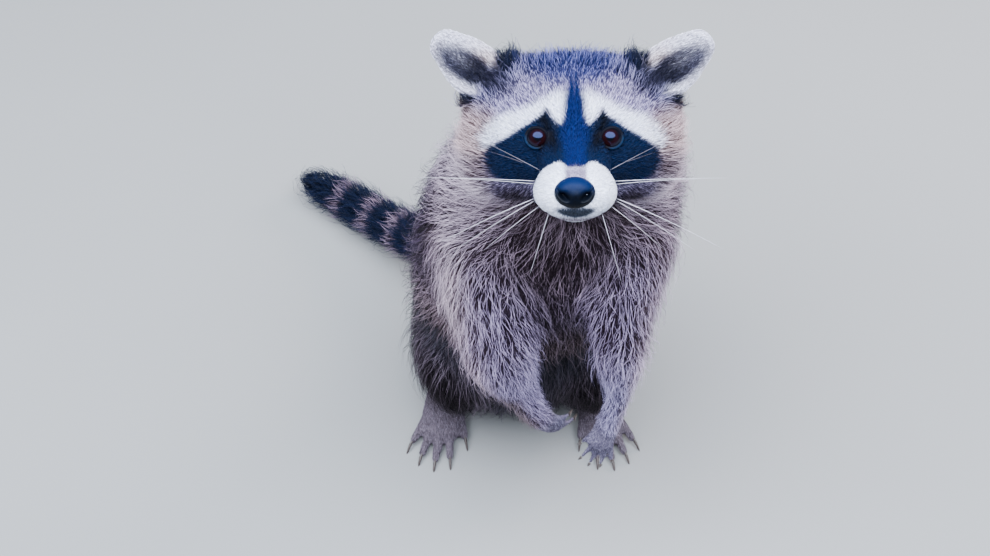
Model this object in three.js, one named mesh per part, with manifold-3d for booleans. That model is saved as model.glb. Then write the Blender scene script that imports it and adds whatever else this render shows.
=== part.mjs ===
// A raccoon sitting up on its haunches with its forepaws held together, life size.
// Millimetres. +Z is up, the animal faces -Y, and +X is its own left.
// The origin is the middle of the flat on which the rump sits.
// Every solid is the outer shape of the coat; neighbours part at thin cuts.
import * as THREE from "three";
import { mergeVertices } from "three/addons/utils/BufferGeometryUtils.js";
import Module from "manifold-3d";

const wasm = await Module();
wasm.setup();

// ---------------------------------------------------------------- driving sizes

const CUT = 0.3; // clear width of the cut between two neighbours
const SINK = 1.6; // how far a resting part is pressed before its flat is trimmed
const BLOCK = 900; // edge of the blocks that trim and part, wider than any piece

const HEAD_PLACE = [37, -54, 341]; // middle of the braincase
const HEAD_PITCH = 35; // degrees that the muzzle is raised above level
const EYE_SPACING = 45;
const EYE_RADIUS = 7.8;
const EAR_LENGTH = 50;
const EAR_HALF_WIDTH = 19;
const NOSE_WIDTH = 24;

const TAIL_RADIUS = 20.5;
const HAND_LENGTH = 19; // wrist to the knuckles
const FOOT_LENGTH = 58; // heel to the knuckles

const COATS = {
  grizzled: { color: 0x6f645e, roughness: 0.95 },
  dark: { color: 0x2c2a30, roughness: 0.95 },
  ringed: { color: 0x4d464a, roughness: 0.95 },
  skin: { color: 0x3a3236, roughness: 0.7 },
  nose: { color: 0x14161c, roughness: 0.35 },
  eye: { color: 0x1a0f0a, roughness: 0.08 },
  claw: { color: 0x2b2524, roughness: 0.45 },
};

// ---------------------------------------------------------------- solids and cuts

const vector = (p) => new THREE.Vector3(...p);

// The same closed surface with its shared vertices merged, and only its positions.
function welded(geometry) {
  const bare = geometry.clone();
  bare.deleteAttribute("normal");
  bare.deleteAttribute("uv");
  return mergeVertices(bare, 1e-4);
}

function toSolid(geometry) {
  const { attributes, index } = welded(geometry);
  return new wasm.Manifold(
    new wasm.Mesh({
      numProp: 3,
      vertProperties: new Float32Array(attributes.position.array),
      triVerts: new Uint32Array(index.array),
    }),
  );
}

function toGeometry(solid) {
  const { vertProperties, triVerts } = solid.getMesh();
  return new THREE.BufferGeometry()
    .setAttribute("position", new THREE.BufferAttribute(vertProperties, 3))
    .setIndex(new THREE.BufferAttribute(triVerts, 1));
}

// The surface moved outwards by a distance, along its vertex normals.
function grown(geometry, distance) {
  const shell = welded(geometry);
  shell.computeVertexNormals();
  const { position, normal } = shell.attributes;
  for (let i = 0; i < position.count; i++) {
    const out = new THREE.Vector3().fromBufferAttribute(normal, i);
    const at = new THREE.Vector3().fromBufferAttribute(position, i);
    position.setXYZ(i, ...at.addScaledVector(out, distance));
  }
  shell.deleteAttribute("normal");
  return shell;
}

function largest(solid) {
  const bodies = solid.decompose();
  return bodies.reduce((a, b) => (b.volume() > a.volume() ? b : a));
}

function joined(geometries) {
  return toGeometry(geometries.map(toSolid).reduce((a, b) => a.add(b)));
}

// ---------------------------------------------------------------- rounded forms

// Calls place(i, row, x, z) for each vertex of a unit sphere that runs from end to end of
// a form: row counts from its start, and (x, z) is the unit direction round its axis.
function formOf(sides, rows, place) {
  const sphere = new THREE.SphereGeometry(1, sides, rows);
  const { position } = sphere.attributes;
  for (let i = 0; i < position.count; i++) {
    const row = Math.floor(i / (sides + 1));
    const turn = ((i % (sides + 1)) % sides) * ((2 * Math.PI) / sides);
    const at = place(row, -Math.cos(turn), Math.sin(turn));
    position.setXYZ(i, ...at);
  }
  return sphere;
}

// Where a row lies: along the axis from 0 to 1, and up either end's cap, 0 to 90 degrees.
function rowPlace(row, rows, capRows) {
  const body = rows - 2 * capRows;
  const t = THREE.MathUtils.clamp((row - capRows) / body, 0, 1);
  const climbed = Math.max(capRows - row, row - (rows - capRows), 0);
  return { t, cap: ((climbed / capRows) * Math.PI) / 2, end: t < 0.5 ? -1 : 1 };
}

// A closed limb along a smooth line. through are its centres, wide and deep its half
// widths there, across the direction that wide is measured in, and ends its two caps.
function limb(form) {
  const { through, wide, deep, across = [1, 0, 0], ends, sides = 16, rows = 14, capRows = 3 } = form;
  const line = new THREE.CatmullRomCurve3(through.map(vector));
  const sizes = new THREE.CatmullRomCurve3(wide.map((w, i) => vector([w, deep[i], 0])));
  return formOf(sides, rows, (row, x, z) => {
    const { t, cap, end } = rowPlace(row, rows, capRows);
    const along = line.getTangent(t);
    const a = vector(across).addScaledVector(along, -along.dot(vector(across))).normalize();
    const b = along.clone().cross(a);
    const size = sizes.getPoint(t);
    return line
      .getPoint(t)
      .addScaledVector(a, size.x * Math.cos(cap) * x)
      .addScaledVector(b, size.y * Math.cos(cap) * z)
      .addScaledVector(along, end * ends[end < 0 ? 0 : 1] * Math.sin(cap));
  });
}

const ellipsoid = (centre, radii) => (p) => {
  const q = p.clone().sub(vector(centre)).divide(vector(radii));
  const k = q.length();
  return (k * (k - 1)) / q.divide(vector(radii)).length();
};

const taper = (from, r0, to, r1) => {
  const line = new THREE.Line3(vector(from), vector(to));
  return (p) => {
    const h = line.closestPointToPointParameter(p, true);
    return p.distanceTo(line.at(h, new THREE.Vector3())) - THREE.MathUtils.lerp(r0, r1, h);
  };
};

// One form flowing into the next over a blend of about k millimetres.
const blended = (k, forms) => (p) =>
  forms
    .map((form) => form(p))
    .reduce((a, b) => {
      const h = Math.max(k - Math.abs(a - b), 0) / k;
      return Math.min(a, b) - (h * h * k) / 4;
    });

// A form with hollows pressed into it, their rims rounded over about k millimetres.
const hollowed = (k, form, hollows) => (p) =>
  -blended(k, [(q) => -form(q), ...hollows])(p);

// The distance from inside a form to its surface.
function reach(form, from, direction) {
  let near = 0;
  let far = 4;
  while (form(from.clone().addScaledVector(direction, far)) < 0) far += 3;
  for (let i = 0; i < 16; i++) {
    const middle = (near + far) / 2;
    if (form(from.clone().addScaledVector(direction, middle)) < 0) near = middle;
    else far = middle;
  }
  return far;
}

// A closed skin drawn over a blended form, from rows of rays off its axis.
function drawnOver(form, { from, to, sides, rows, capRows }) {
  const [start, end] = [vector(from), vector(to)];
  const along = end.clone().sub(start).normalize();
  const a = new THREE.Vector3(1, 0, 0);
  const b = along.clone().cross(a);
  return formOf(sides, rows, (row, x, z) => {
    const { t, cap, end: side } = rowPlace(row, rows, capRows);
    const centre = start.clone().lerp(end, t);
    const ray = new THREE.Vector3()
      .addScaledVector(a, x * Math.cos(cap))
      .addScaledVector(b, z * Math.cos(cap))
      .addScaledVector(along, side * Math.sin(cap))
      .normalize();
    return centre.addScaledVector(ray, reach(form, centre, ray));
  });
}

// ---------------------------------------------------------------- the animal as a tree

const raccoon = new THREE.Group();
const pieces = new Map();

function frameAt(parent, place, turn = [0, 0, 0]) {
  const frame = new THREE.Group();
  frame.position.set(...place);
  frame.rotation.set(...turn.map(THREE.MathUtils.degToRad));
  parent.add(frame);
  frame.updateWorldMatrix(true, false);
  return frame;
}

function piece(name, geometry, coat, frame = raccoon) {
  pieces.set(name, { geometry, coat, frame });
}

// A limb that is parted by flat cuts across its line, at shares of the way from its start.
function partedLimb(names, sharesAlong, form, coat) {
  const line = new THREE.CatmullRomCurve3(form.through.map(vector));
  const beyond = (share, side) => {
    const facing = new THREE.Quaternion().setFromUnitVectors(
      new THREE.Vector3(0, 0, 1),
      line.getTangent(share).multiplyScalar(side),
    );
    return new THREE.BoxGeometry(BLOCK, BLOCK, BLOCK)
      .translate(0, 0, BLOCK / 2 - (side > 0 ? 0 : CUT))
      .applyQuaternion(facing)
      .translate(...line.getPoint(share));
  };
  const whole = toSolid(limb(form));
  names.forEach((name, i) => {
    let part = whole;
    if (i > 0) part = part.subtract(toSolid(beyond(sharesAlong[i - 1], -1)));
    if (i < names.length - 1) part = part.subtract(toSolid(beyond(sharesAlong[i], 1)));
    piece(name, toGeometry(part), coat);
  });
}

const inWorld = ({ geometry, frame }) => geometry.clone().applyMatrix4(frame.matrixWorld);

// ---------------------------------------------------------------- head

const head = frameAt(raccoon, HEAD_PLACE, [-HEAD_PITCH, 0, 0]);
const eyeX = EYE_SPACING / 2;
const bothSides = [
  ["right", -1],
  ["left", 1],
];

const headForm = hollowed(
  5,
  blended(13, [
    ellipsoid([0, 6, 6], [57, 54, 47]), // braincase
    ellipsoid([0, -18, 13], [38, 27, 26]), // brow
    taper([0, -32, -5], 22, [0, -71, -18], 13.5), // muzzle
    taper([0, -20, -27], 20, [0, -65, -30], 9), // lower jaw
    ...bothSides.flatMap(([, side]) => [
      ellipsoid([side * 40, 6, -14], [37, 36, 34]), // cheek ruff
      ellipsoid([side * 40, 12, 10], [28, 32, 28]), // temple below the ear
      ellipsoid([side * 39, 14, 41], [11, 12, 16]), // fur at the root of the ear
      ellipsoid([side * 61, 17, 22], [10, 10, 7.5]), // fur under the ear
      ellipsoid([side * 13, -66, -20], [13.5, 16, 12.5]), // whisker pad
      ellipsoid([side * 27, -20, 10], [15, 14, 14]), // brow over the eye
    ]),
  ]),
  bothSides.map(([, side]) => ellipsoid([side * (eyeX + 1), -48, 7], [7.5, 6, 6.5])), // sockets
);

piece(
  "head",
  drawnOver(headForm, { from: [0, 22, 0], to: [0, -66, -19], sides: 24, rows: 22, capRows: 7 }),
  COATS.grizzled,
  head,
);

const nose = frameAt(head, [0, -81, -16]);
function noseForm() {
  const pad = new THREE.SphereGeometry(1, 10, 7).scale(NOSE_WIDTH / 2, 10, 8.5);
  const nostrils = bothSides.map(([, side]) =>
    toSolid(new THREE.SphereGeometry(1, 6, 5).scale(2.6, 4, 2).translate(side * 6, -9, -1.5)),
  );
  return toGeometry(nostrils.reduce((a, b) => a.subtract(b), toSolid(pad)));
}
piece("nose", noseForm(), COATS.nose, nose);

for (const [name, side] of bothSides) {
  const eye = frameAt(head, [side * eyeX, -38, 7]);
  piece(`eye_${name}`, new THREE.SphereGeometry(EYE_RADIUS, 10, 8), COATS.eye, eye);
}

// An upright ear cup: its axis is +Z and it opens towards -Y.
function earForm() {
  const w = EAR_HALF_WIDTH;
  const z = (share) => share * EAR_LENGTH;
  const cup = limb({
    through: [[0, 0, z(-0.25)], [0, 0, z(0.15)], [0, 1, z(0.5)], [0, 0, z(0.82)]],
    wide: [w * 0.8, w, w * 0.92, w * 0.62],
    deep: [13, 10, 7, 4],
    ends: [4, 9],
    sides: 12,
    rows: 9,
  });
  const hollow = limb({
    through: [[0, -8, z(0.02)], [0, -7.5, z(0.3)], [0, -5.5, z(0.55)], [0, -4, z(0.8)]],
    wide: [w * 0.45, w * 0.74, w * 0.7, w * 0.45],
    deep: [6, 7.5, 6, 4],
    ends: [3, 6],
    sides: 8,
    rows: 8,
  });
  return toGeometry(toSolid(cup).subtract(toSolid(hollow)));
}

for (const [name, side] of bothSides) {
  const ear = frameAt(head, [side * 50, 8, 31], [4, side * 50, side * -18]);
  piece(`ear_${name}`, earForm(), COATS.grizzled, ear);
}

// ---------------------------------------------------------------- trunk, neck and tail

partedLimb(
  ["trunk", "neck"],
  [0.78],
  {
    through: [[2, -4, 46], [4, -9, 100], [9, -18, 160], [18, -28, 216], [31, -36, 266], [39, -41, 318]],
    wide: [62, 76, 83, 86, 88, 76],
    deep: [58, 76, 76, 70, 62, 46],
    ends: [51, 16],
    sides: 20,
    rows: 17,
  },
  COATS.grizzled,
);

const tailLine = [
  [-14, 38, 60],
  [-54, 90, 45],
  [-92, 127, 27],
  [-134, 164, TAIL_RADIUS - SINK],
  [-157, 178, TAIL_RADIUS - SINK],
];
const tailSwell = [1.05, 1.08, 1.05, 1.0, 0.86];

partedLimb(
  ["tail_root", "tail_middle", "tail_tip"],
  [0.4, 0.7],
  {
    through: tailLine,
    wide: tailSwell.map((s) => s * TAIL_RADIUS),
    deep: tailSwell.map((s) => s * TAIL_RADIUS),
    across: [0.64, 0.77, 0],
    ends: [16, 20],
    sides: 12,
    rows: 16,
  },
  COATS.ringed,
);

// ---------------------------------------------------------------- paws

// A hand or foot with its wrist at the origin, pointing along -Y, its back towards +Z.
function pawForm({ length, halfWidth, thickness, digits, digitRadius, curl, spread }) {
  const palm = limb({
    through: [[0, 10, 0], [0, -length * 0.45, -1], [0, -length, -2]],
    wide: [halfWidth * 0.85, halfWidth * 0.95, halfWidth],
    deep: [thickness, thickness * 0.85, thickness * 0.6],
    ends: [8, 6],
    sides: 8,
    rows: 7,
    capRows: 2,
  });
  return joined([palm, ...digits.map((digit) => digitForm(digit, { digitRadius, curl, spread }))]);
}

function digitLine({ at, reachOut, turn }, { curl, spread }) {
  const swing = THREE.MathUtils.degToRad(turn * spread);
  const bend = THREE.MathUtils.degToRad(curl);
  const step = reachOut / 3;
  const points = [vector(at)];
  for (let i = 1; i <= 3; i++) {
    const dip = (bend * i) / 3;
    const level = Math.cos(dip) * step;
    points.push(
      points[i - 1]
        .clone()
        .add(vector([level * Math.sin(swing), -level * Math.cos(swing), -Math.sin(dip) * step])),
    );
  }
  return points.map((p) => p.toArray());
}

function digitForm(digit, shape) {
  const r = shape.digitRadius;
  return limb({
    through: digitLine(digit, shape),
    wide: [r * 1.15, r, r * 0.95, r * 0.85],
    deep: [r * 1.15, r, r * 0.95, r * 0.85],
    ends: [r, r],
    sides: 5,
    rows: 5,
    capRows: 1,
  });
}

// A curved claw that leaves the tip of its digit.
function clawForm(digit, shape, length) {
  const line = digitLine(digit, shape);
  const tip = vector(line[3]);
  const out = tip.clone().sub(vector(line[2])).normalize();
  const down = new THREE.Vector3(0, 0, -1);
  const r = shape.digitRadius;
  const base = tip.clone().addScaledVector(out, r * 0.2).addScaledVector(down, -r * 0.35);
  const middle = base.clone().addScaledVector(out, length * 0.5).addScaledVector(down, length * 0.05);
  const point = base.clone().addScaledVector(out, length * 0.9).addScaledVector(down, length * 0.35);
  return limb({
    through: [base, middle, point].map((p) => p.toArray()),
    wide: [1.5, 1.15, 0.5],
    deep: [2, 1.5, 0.5],
    ends: [1, 0.6],
    sides: 4,
    rows: 4,
    capRows: 1,
  });
}

const handShape = (curl) => ({ digitRadius: 2.1, curl, spread: 1 });
const footShape = { digitRadius: 3.9, curl: 14, spread: 0.85 };

// side mirrors the digits, so that the first one, the thumb, is the inner one.
function digitsOf(side, knuckles, halfWidth, lengths) {
  return lengths.map((reachOut, i) => {
    const share = (i / 4) * 2 - 1; // -1 at the first digit, 1 at the fifth
    const back = knuckles * (i === 0 ? 0.72 : 0.96 - 0.1 * share * share);
    return { at: [side * share * halfWidth, -back, -2], reachOut, turn: side * share * 24 };
  });
}

function addPaw({ part, name, side, frame, coat, shape, length, halfWidth, thickness, lengths, claw }) {
  const digits = digitsOf(side, length, halfWidth * 0.78, lengths);
  piece(`${part}_${name}`, pawForm({ length, halfWidth, thickness, digits, ...shape }), coat, frame);
  digits.forEach((digit, i) =>
    piece(`${part}_${name}_claw_${i + 1}`, clawForm(digit, shape, claw), COATS.claw, frame),
  );
}

// ---------------------------------------------------------------- forelegs

const forelegs = {
  right: {
    through: [[-18, -62, 238], [-13, -88, 210], [-8, -114, 182], [4.5, -119, 151], [17, -123, 123]],
    wide: [37, 35, 25, 15, 9.5],
    deep: [39, 37, 26, 16, 9.5],
    handTurn: [90, 0, 43],
    curl: 48,
  },
  left: {
    through: [[79, -62, 244], [73, -89, 211], [74, -115, 178], [74, -121, 150], [68, -127, 122]],
    wide: [35, 29, 16.5, 9.8, 7.6],
    deep: [38, 34, 19, 11.5, 8.5],
    handTurn: [60, 0, -20],
    curl: 20,
  },
};
const midway = (a, b) => vector(a).lerp(vector(b), 0.5).toArray();

for (const [name, side] of bothSides) {
  const { through, wide, deep, handTurn, curl } = forelegs[name];
  partedLimb(
    [`upper_arm_${name}`, `forearm_${name}`],
    [0.5],
    {
      through,
      wide,
      deep,
      ends: [26, 6],
      sides: 14,
      rows: 17,
    },
    COATS.grizzled,
  );
  addPaw({
    part: "hand",
    name,
    side,
    frame: frameAt(raccoon, through[4], handTurn),
    coat: COATS.skin,
    shape: handShape(curl),
    length: HAND_LENGTH,
    halfWidth: 9.5,
    thickness: 8,
    lengths: [10, 17, 19, 18, 14],
    claw: 5.5,
  });
}

// ---------------------------------------------------------------- hind legs

const hindlegs = {
  right: { hip: [-39, -2, 70], knee: [-39, -62, 84], heel: [-46, -2, 18], footTurn: 8 },
  left: { hip: [50, -2, 70], knee: [60, -62, 84], heel: [60, -2, 18], footTurn: -12 },
};

for (const [name, side] of bothSides) {
  const { hip, knee, heel, footTurn } = hindlegs[name];
  const shin = [knee[0], knee[1] + 22, knee[2] - 18];
  piece(
    `thigh_${name}`,
    limb({
      through: [hip, midway(hip, knee), knee],
      wide: [37, 37, 27],
      deep: [56, 50, 33],
      ends: [44, 24],
      sides: 14,
      rows: 10,
    }),
    COATS.grizzled,
  );
  piece(
    `shank_${name}`,
    limb({
      through: [shin, midway(shin, heel), heel],
      wide: [25, 22, 17],
      deep: [24, 21, 15],
      ends: [14, 12],
      sides: 10,
      rows: 8,
    }),
    COATS.dark,
  );
  addPaw({
    part: "foot",
    name,
    side,
    frame: frameAt(raccoon, [heel[0], heel[1], 11 - SINK], [0, 0, -footTurn]),
    coat: COATS.skin,
    shape: footShape,
    length: FOOT_LENGTH,
    halfWidth: 17,
    thickness: 12,
    lengths: [17, 23, 25, 23, 18],
    claw: 11,
  });
}

// ---------------------------------------------------------------- cuts and assembly

// Each piece is cut by the whole of the pieces named after it, and rests on the floor.
const cutBy = {
  head: ["nose", "eye_right", "eye_left"],
  neck: ["head"],
  tail_root: ["trunk", "thigh_right"],
};
for (const [name] of bothSides) {
  cutBy[`ear_${name}`] = ["head"];
  cutBy[`upper_arm_${name}`] = ["trunk", "neck", "head"];
  cutBy[`forearm_${name}`] = ["trunk"];
  cutBy[`hand_${name}`] = [`forearm_${name}`];
  cutBy[`thigh_${name}`] = ["trunk"];
  cutBy[`shank_${name}`] = ["trunk", `thigh_${name}`];
  cutBy[`foot_${name}`] = ["trunk", `thigh_${name}`, `shank_${name}`];
  for (let i = 1; i <= 5; i++) {
    cutBy[`hand_${name}_claw_${i}`] = [`hand_${name}`];
    cutBy[`foot_${name}_claw_${i}`] = [`foot_${name}`];
  }
}

const floor = toSolid(new THREE.BoxGeometry(BLOCK, BLOCK, BLOCK).translate(0, 0, -BLOCK / 2));

for (const [name, made] of pieces) {
  const { coat, frame } = made;
  let solid = toSolid(inWorld(made));
  for (const other of cutBy[name] ?? []) {
    solid = solid.subtract(toSolid(grown(inWorld(pieces.get(other)), CUT)));
  }
  const shaped = largest(solid.subtract(floor));
  const mesh = new THREE.Mesh(
    toGeometry(shaped).applyMatrix4(frame.matrixWorld.clone().invert()),
    new THREE.MeshStandardMaterial({ metalness: 0, ...coat }),
  );
  mesh.name = name;
  frame.add(mesh);
}

export default raccoon;
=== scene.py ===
# %% [markdown]
# # A raccoon sitting up on its haunches
# The model is a museum mount of a living animal. Its solids already hold the
# true outline, out to the tips of the coat, so this lesson adds what a solid
# cannot: one skin that lies under the coat, eyes, nose, claws and whiskers, and
# the coat itself as many thousands of thin tufts. First the frame is loaded.

# %% Load the frame
import math

import bmesh
import bpy
import numpy as np
from mathutils import Matrix, Vector
from mathutils.bvhtree import BVHTree
from mathutils.kdtree import KDTree


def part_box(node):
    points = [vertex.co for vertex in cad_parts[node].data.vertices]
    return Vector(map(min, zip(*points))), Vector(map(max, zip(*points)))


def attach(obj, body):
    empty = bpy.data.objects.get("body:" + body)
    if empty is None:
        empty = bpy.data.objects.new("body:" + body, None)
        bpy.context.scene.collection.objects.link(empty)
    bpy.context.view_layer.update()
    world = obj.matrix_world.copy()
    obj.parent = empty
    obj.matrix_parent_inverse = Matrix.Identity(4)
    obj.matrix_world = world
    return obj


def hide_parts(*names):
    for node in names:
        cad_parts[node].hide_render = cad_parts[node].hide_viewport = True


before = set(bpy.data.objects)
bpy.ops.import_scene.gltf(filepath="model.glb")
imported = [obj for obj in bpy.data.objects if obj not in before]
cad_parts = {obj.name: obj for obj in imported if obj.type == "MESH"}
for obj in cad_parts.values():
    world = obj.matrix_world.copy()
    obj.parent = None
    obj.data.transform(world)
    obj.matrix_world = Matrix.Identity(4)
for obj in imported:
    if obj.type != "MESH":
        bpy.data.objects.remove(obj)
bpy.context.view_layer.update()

MM = 0.001
dice = np.random.default_rng(52)
print("solids:", len(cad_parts))

# %% [markdown]
# ## Where the camera stands
# A person looks down on the animal from a step away, and it looks up at them.
# A long lens keeps the head and the feet in their true proportion.

# %% Camera
CAMERA_PLACE = (-0.012, -0.9512, 1.3406)
CAMERA_TILT = math.radians(38)
camera = bpy.data.objects.new("camera", bpy.data.cameras.new("camera"))
camera.location = CAMERA_PLACE
camera.rotation_euler = (CAMERA_TILT, 0, 0)
camera.data.lens = 76.25
camera.data.sensor_width = 36
bpy.context.collection.objects.link(camera)
bpy.context.scene.camera = camera
print("camera height", camera.location.z)

# %% [markdown]
# ## The head has coordinates of its own
# Markings on the face are easiest to state from the front of the head: x to
# the animal's left, y towards the back of the skull, z up. The eyes tell where
# the head is, and the head is tipped back so that the muzzle points upwards.
# All work on skin and coat is done in millimetres.

# %% The head's own axes
HEAD_PITCH = -35
EYE_PLACE = Vector((22.5, -38, 7))
EYES_IN_HEAD = Vector((0, *EYE_PLACE.yz))
EYE_RADIUS = 7.8
EAR_PLACE = Vector((50, 8, 31))
EAR_TURN = (4, 50, -18)


def turn(degrees, axis):
    return Matrix.Rotation(math.radians(degrees), 3, axis)


def middle_of(node):
    low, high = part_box(node)
    return (low + high) / 2 / MM


head_turn = turn(HEAD_PITCH, "X")
head_place = (middle_of("eye_left") + middle_of("eye_right")) / 2 - head_turn @ EYES_IN_HEAD
HEAD_AXES = np.array(head_turn)
HEAD_PLACE = np.array(head_place)
NOSE_IN_HEAD = np.array((-0.8, -81, -17.0))


def in_head(points):
    """World points in millimetres, seen from the head's own axes."""
    return (points - HEAD_PLACE) @ HEAD_AXES


def from_head(points):
    """The way back: from the head's axes to the world, in millimetres."""
    return np.asarray(points, float) @ HEAD_AXES.T + HEAD_PLACE


def on_side(side, place):
    """A place or direction stated for the left (side 1), or mirrored to the right (-1)."""
    return np.array(place, float) * (side, 1, 1)


def folded(points):
    """Points with those on the right mirrored to the left."""
    return np.column_stack((np.abs(points[:, 0]), points[:, 1:]))


def ear_axes(side):
    pitch, roll, yaw = EAR_TURN
    return np.array(turn(pitch, "X") @ turn(side * roll, "Y") @ turn(side * yaw, "Z"))


def in_ear(head_points, side):
    """Points of the head seen from an ear: x across, z from its root to its tip."""
    return (head_points - on_side(side, EAR_PLACE)) @ ear_axes(side)


print("middle of the head:", [round(value, 1) for value in head_place])

# %% [markdown]
# ## Small tools for many points at once
# The skin has tens of thousands of points and the coat many more, so they are
# kept in NumPy arrays. A soft step blends one thing into the next, and a
# closed outline can say how far inside it a point lies.

# %% Helpers on arrays
FAR = 1e9
TINY = 1e-9


def soft_step(low, high, value):
    share = np.clip((value - low) / (high - low), 0, 1)
    return share * share * (3 - 2 * share)


def lengths_of(vectors):
    return np.linalg.norm(vectors, axis=-1)


def unit(vectors):
    return vectors / np.maximum(lengths_of(vectors), TINY)[..., None]


def moved(values, share, target):
    """Rows of values moved towards a target by the share of each row."""
    return values + share[:, None] * (np.array(target) - values)


def legs(path):
    """Start and end of each straight part of a bent line."""
    path = np.array(path, float)
    return list(zip(path[:-1], path[1:]))


def bump_at(distance, width):
    """A smooth hill: 1 at distance 0, nearly nothing at twice the width."""
    return np.exp(-(distance / width) ** 2)


def beside_line(points, path):
    """The shortest way from each point to a bent line, and how far along it that is."""
    nearest = np.full(len(points), FAR)
    place = np.zeros(len(points))
    passed = 0.0
    for start, end in legs(path):
        along = end - start
        share = np.clip((points - start) @ along / max(along @ along, TINY), 0, 1)
        gap = lengths_of(points - start - share[:, None] * along)
        place = np.where(gap < nearest, passed + share * lengths_of(along), place)
        nearest = np.minimum(nearest, gap)
        passed += lengths_of(along)
    return nearest, place


def line_distance(points, path):
    return beside_line(points, path)[0]


def inside_by(points, corners):
    """How far each flat point lies inside a closed outline. Outside is negative."""
    closed = [*corners, corners[0]]
    inside = np.zeros(len(points), bool)
    for start, end in legs(closed):
        rise = end[1] - start[1] if abs(end[1] - start[1]) > TINY else TINY
        meets = start[0] + (points[:, 1] - start[1]) * (end[0] - start[0]) / rise
        spans = (start[1] > points[:, 1]) != (end[1] > points[:, 1])
        inside ^= spans & (points[:, 0] < meets)
    nearest = line_distance(points, closed)
    return np.where(inside, nearest, -nearest)


def object_from(mesh, name):
    made = bpy.data.objects.new(name, mesh)
    bpy.context.collection.objects.link(made)
    return made


def mesh_after_modifiers(carrier):
    """The mesh that an object's modifiers make. The object itself is removed."""
    graph = bpy.context.evaluated_depsgraph_get()
    mesh = bpy.data.meshes.new_from_object(carrier.evaluated_get(graph))
    bpy.data.objects.remove(carrier)
    return mesh


def mesh_from(form, name):
    mesh = bpy.data.meshes.new(name)
    form.to_mesh(mesh)
    form.free()
    return mesh


print("a soft step halfway up:", soft_step(0, 1, 0.5))

# %% [markdown]
# ## Finishes are written as expressions
# A Blender material is a graph of nodes. A small class that wraps a socket
# lets the graph be written as ordinary sums, and one method makes any node.

# %% Sockets that can be added and multiplied
def operator(operation, swapped=False):
    def method(self, other):
        made = self.node("ShaderNodeMath", {"operation": operation})
        pair = (other, self) if swapped else (self, other)
        for socket, value in zip(made.inputs, pair):
            connect(self.tree, socket, value)
        return Value(self.tree, made.outputs[0])

    return method


class Value:
    def __init__(self, tree, socket):
        self.tree = tree
        self.socket = socket

    def node(self, kind, settings=None, **inputs):
        return build_node(self.tree, kind, settings, **inputs)

    __add__ = operator("ADD")
    __radd__ = operator("ADD", swapped=True)
    __sub__ = operator("SUBTRACT")
    __rsub__ = operator("SUBTRACT", swapped=True)
    __mul__ = operator("MULTIPLY")
    __rmul__ = operator("MULTIPLY", swapped=True)


def connect(tree, socket, value):
    if isinstance(value, Value):
        tree.links.new(value.socket, socket)
    elif value is not None:
        socket.default_value = value


def build_node(tree, kind, settings=None, **inputs):
    """Makes a node: its settings first, then the values or links of its sockets."""
    made = tree.nodes.new(kind)
    for name, setting in (settings or {}).items():
        if name == "stops":
            ramp = made.color_ramp.elements
            while len(ramp) < len(setting):
                ramp.new(0.5)
            for stop, (place, colour) in zip(ramp, setting):
                stop.position = place
                stop.color = (*colour, 1)
        else:
            setattr(made, name, setting)
    feed(tree, made, **inputs)
    return made


def feed(tree, node, **inputs):
    """Gives a node's sockets their values or links. A socket's name is written with _."""
    for name, value in inputs.items():
        connect(tree, node.inputs[name.replace("_", " ")], value)


print("sockets can be added, subtracted and multiplied")

# %% [markdown]
# Every finish here needs the same few things: the main shader, an attribute of
# the mesh, a noise that stays in place on the object, a colour made lighter or
# darker by it, and bumps that catch the light. Each is one short function.

# %% Parts of a finish
def material(name, roughness, specular):
    """A new material, its tree and its main shader."""
    made = bpy.data.materials.new(name)
    made.use_nodes = True
    shader = made.node_tree.nodes["Principled BSDF"]
    feed(made.node_tree, shader, Roughness=roughness, Specular_IOR_Level=specular)
    return made, made.node_tree, shader


def attribute(tree, name, output="Color"):
    made = build_node(tree, "ShaderNodeAttribute", {"attribute_name": name})
    return Value(tree, made.outputs[output])


def place_on(tree):
    made = build_node(tree, "ShaderNodeTexCoord")
    return Value(tree, made.outputs["Object"])


def noise(tree, scale, detail=3.0):
    made = build_node(
        tree, "ShaderNodeTexNoise", Vector=place_on(tree), Scale=scale, Detail=detail, Roughness=0.55
    )
    return Value(tree, made.outputs["Fac"])


def tint(tree, colour, strength):
    """A colour made lighter or darker by a value round 1."""
    made = colour.node("ShaderNodeVectorMath", {"operation": "SCALE"})
    connect(tree, made.inputs[0], colour)
    connect(tree, made.inputs["Scale"], strength)
    return Value(tree, made.outputs[0])


def blend_colours(tree, share, first, second):
    made = build_node(tree, "ShaderNodeMix", {"data_type": "RGBA"})
    connect(tree, made.inputs["Factor"], share)
    connect(tree, made.inputs[6], first)
    connect(tree, made.inputs[7], second)
    return Value(tree, made.outputs[2])


def bumps(tree, shader, height, strength, distance):
    made = build_node(tree, "ShaderNodeBump", Height=height, Strength=strength, Distance=distance * MM)
    tree.links.new(made.outputs[0], shader.inputs["Normal"])


print("materials so far:", len(bpy.data.materials))

# %% [markdown]
# ## One outline for the whole body
# The solids of the body meet at fine cuts, which a living skin doesn't have.
# They could be joined by booleans, but a voxel remesh is simpler: it wraps one
# even surface round them all. The solids are swollen by a hair first, so that
# the cuts close. Claws stay out, because they are separate pieces. The net is
# fine enough for a finger, and is thinned where the coat is long.

# %% Wrap the body's solids in one surface
VOXEL = 1.3
SWELL = 0.3
MERGE = 0.01
claws = sorted(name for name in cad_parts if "_claw_" in name)
firm = {"eye_left", "eye_right", "nose", *claws}
flesh = sorted(set(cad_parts) - firm)


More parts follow.
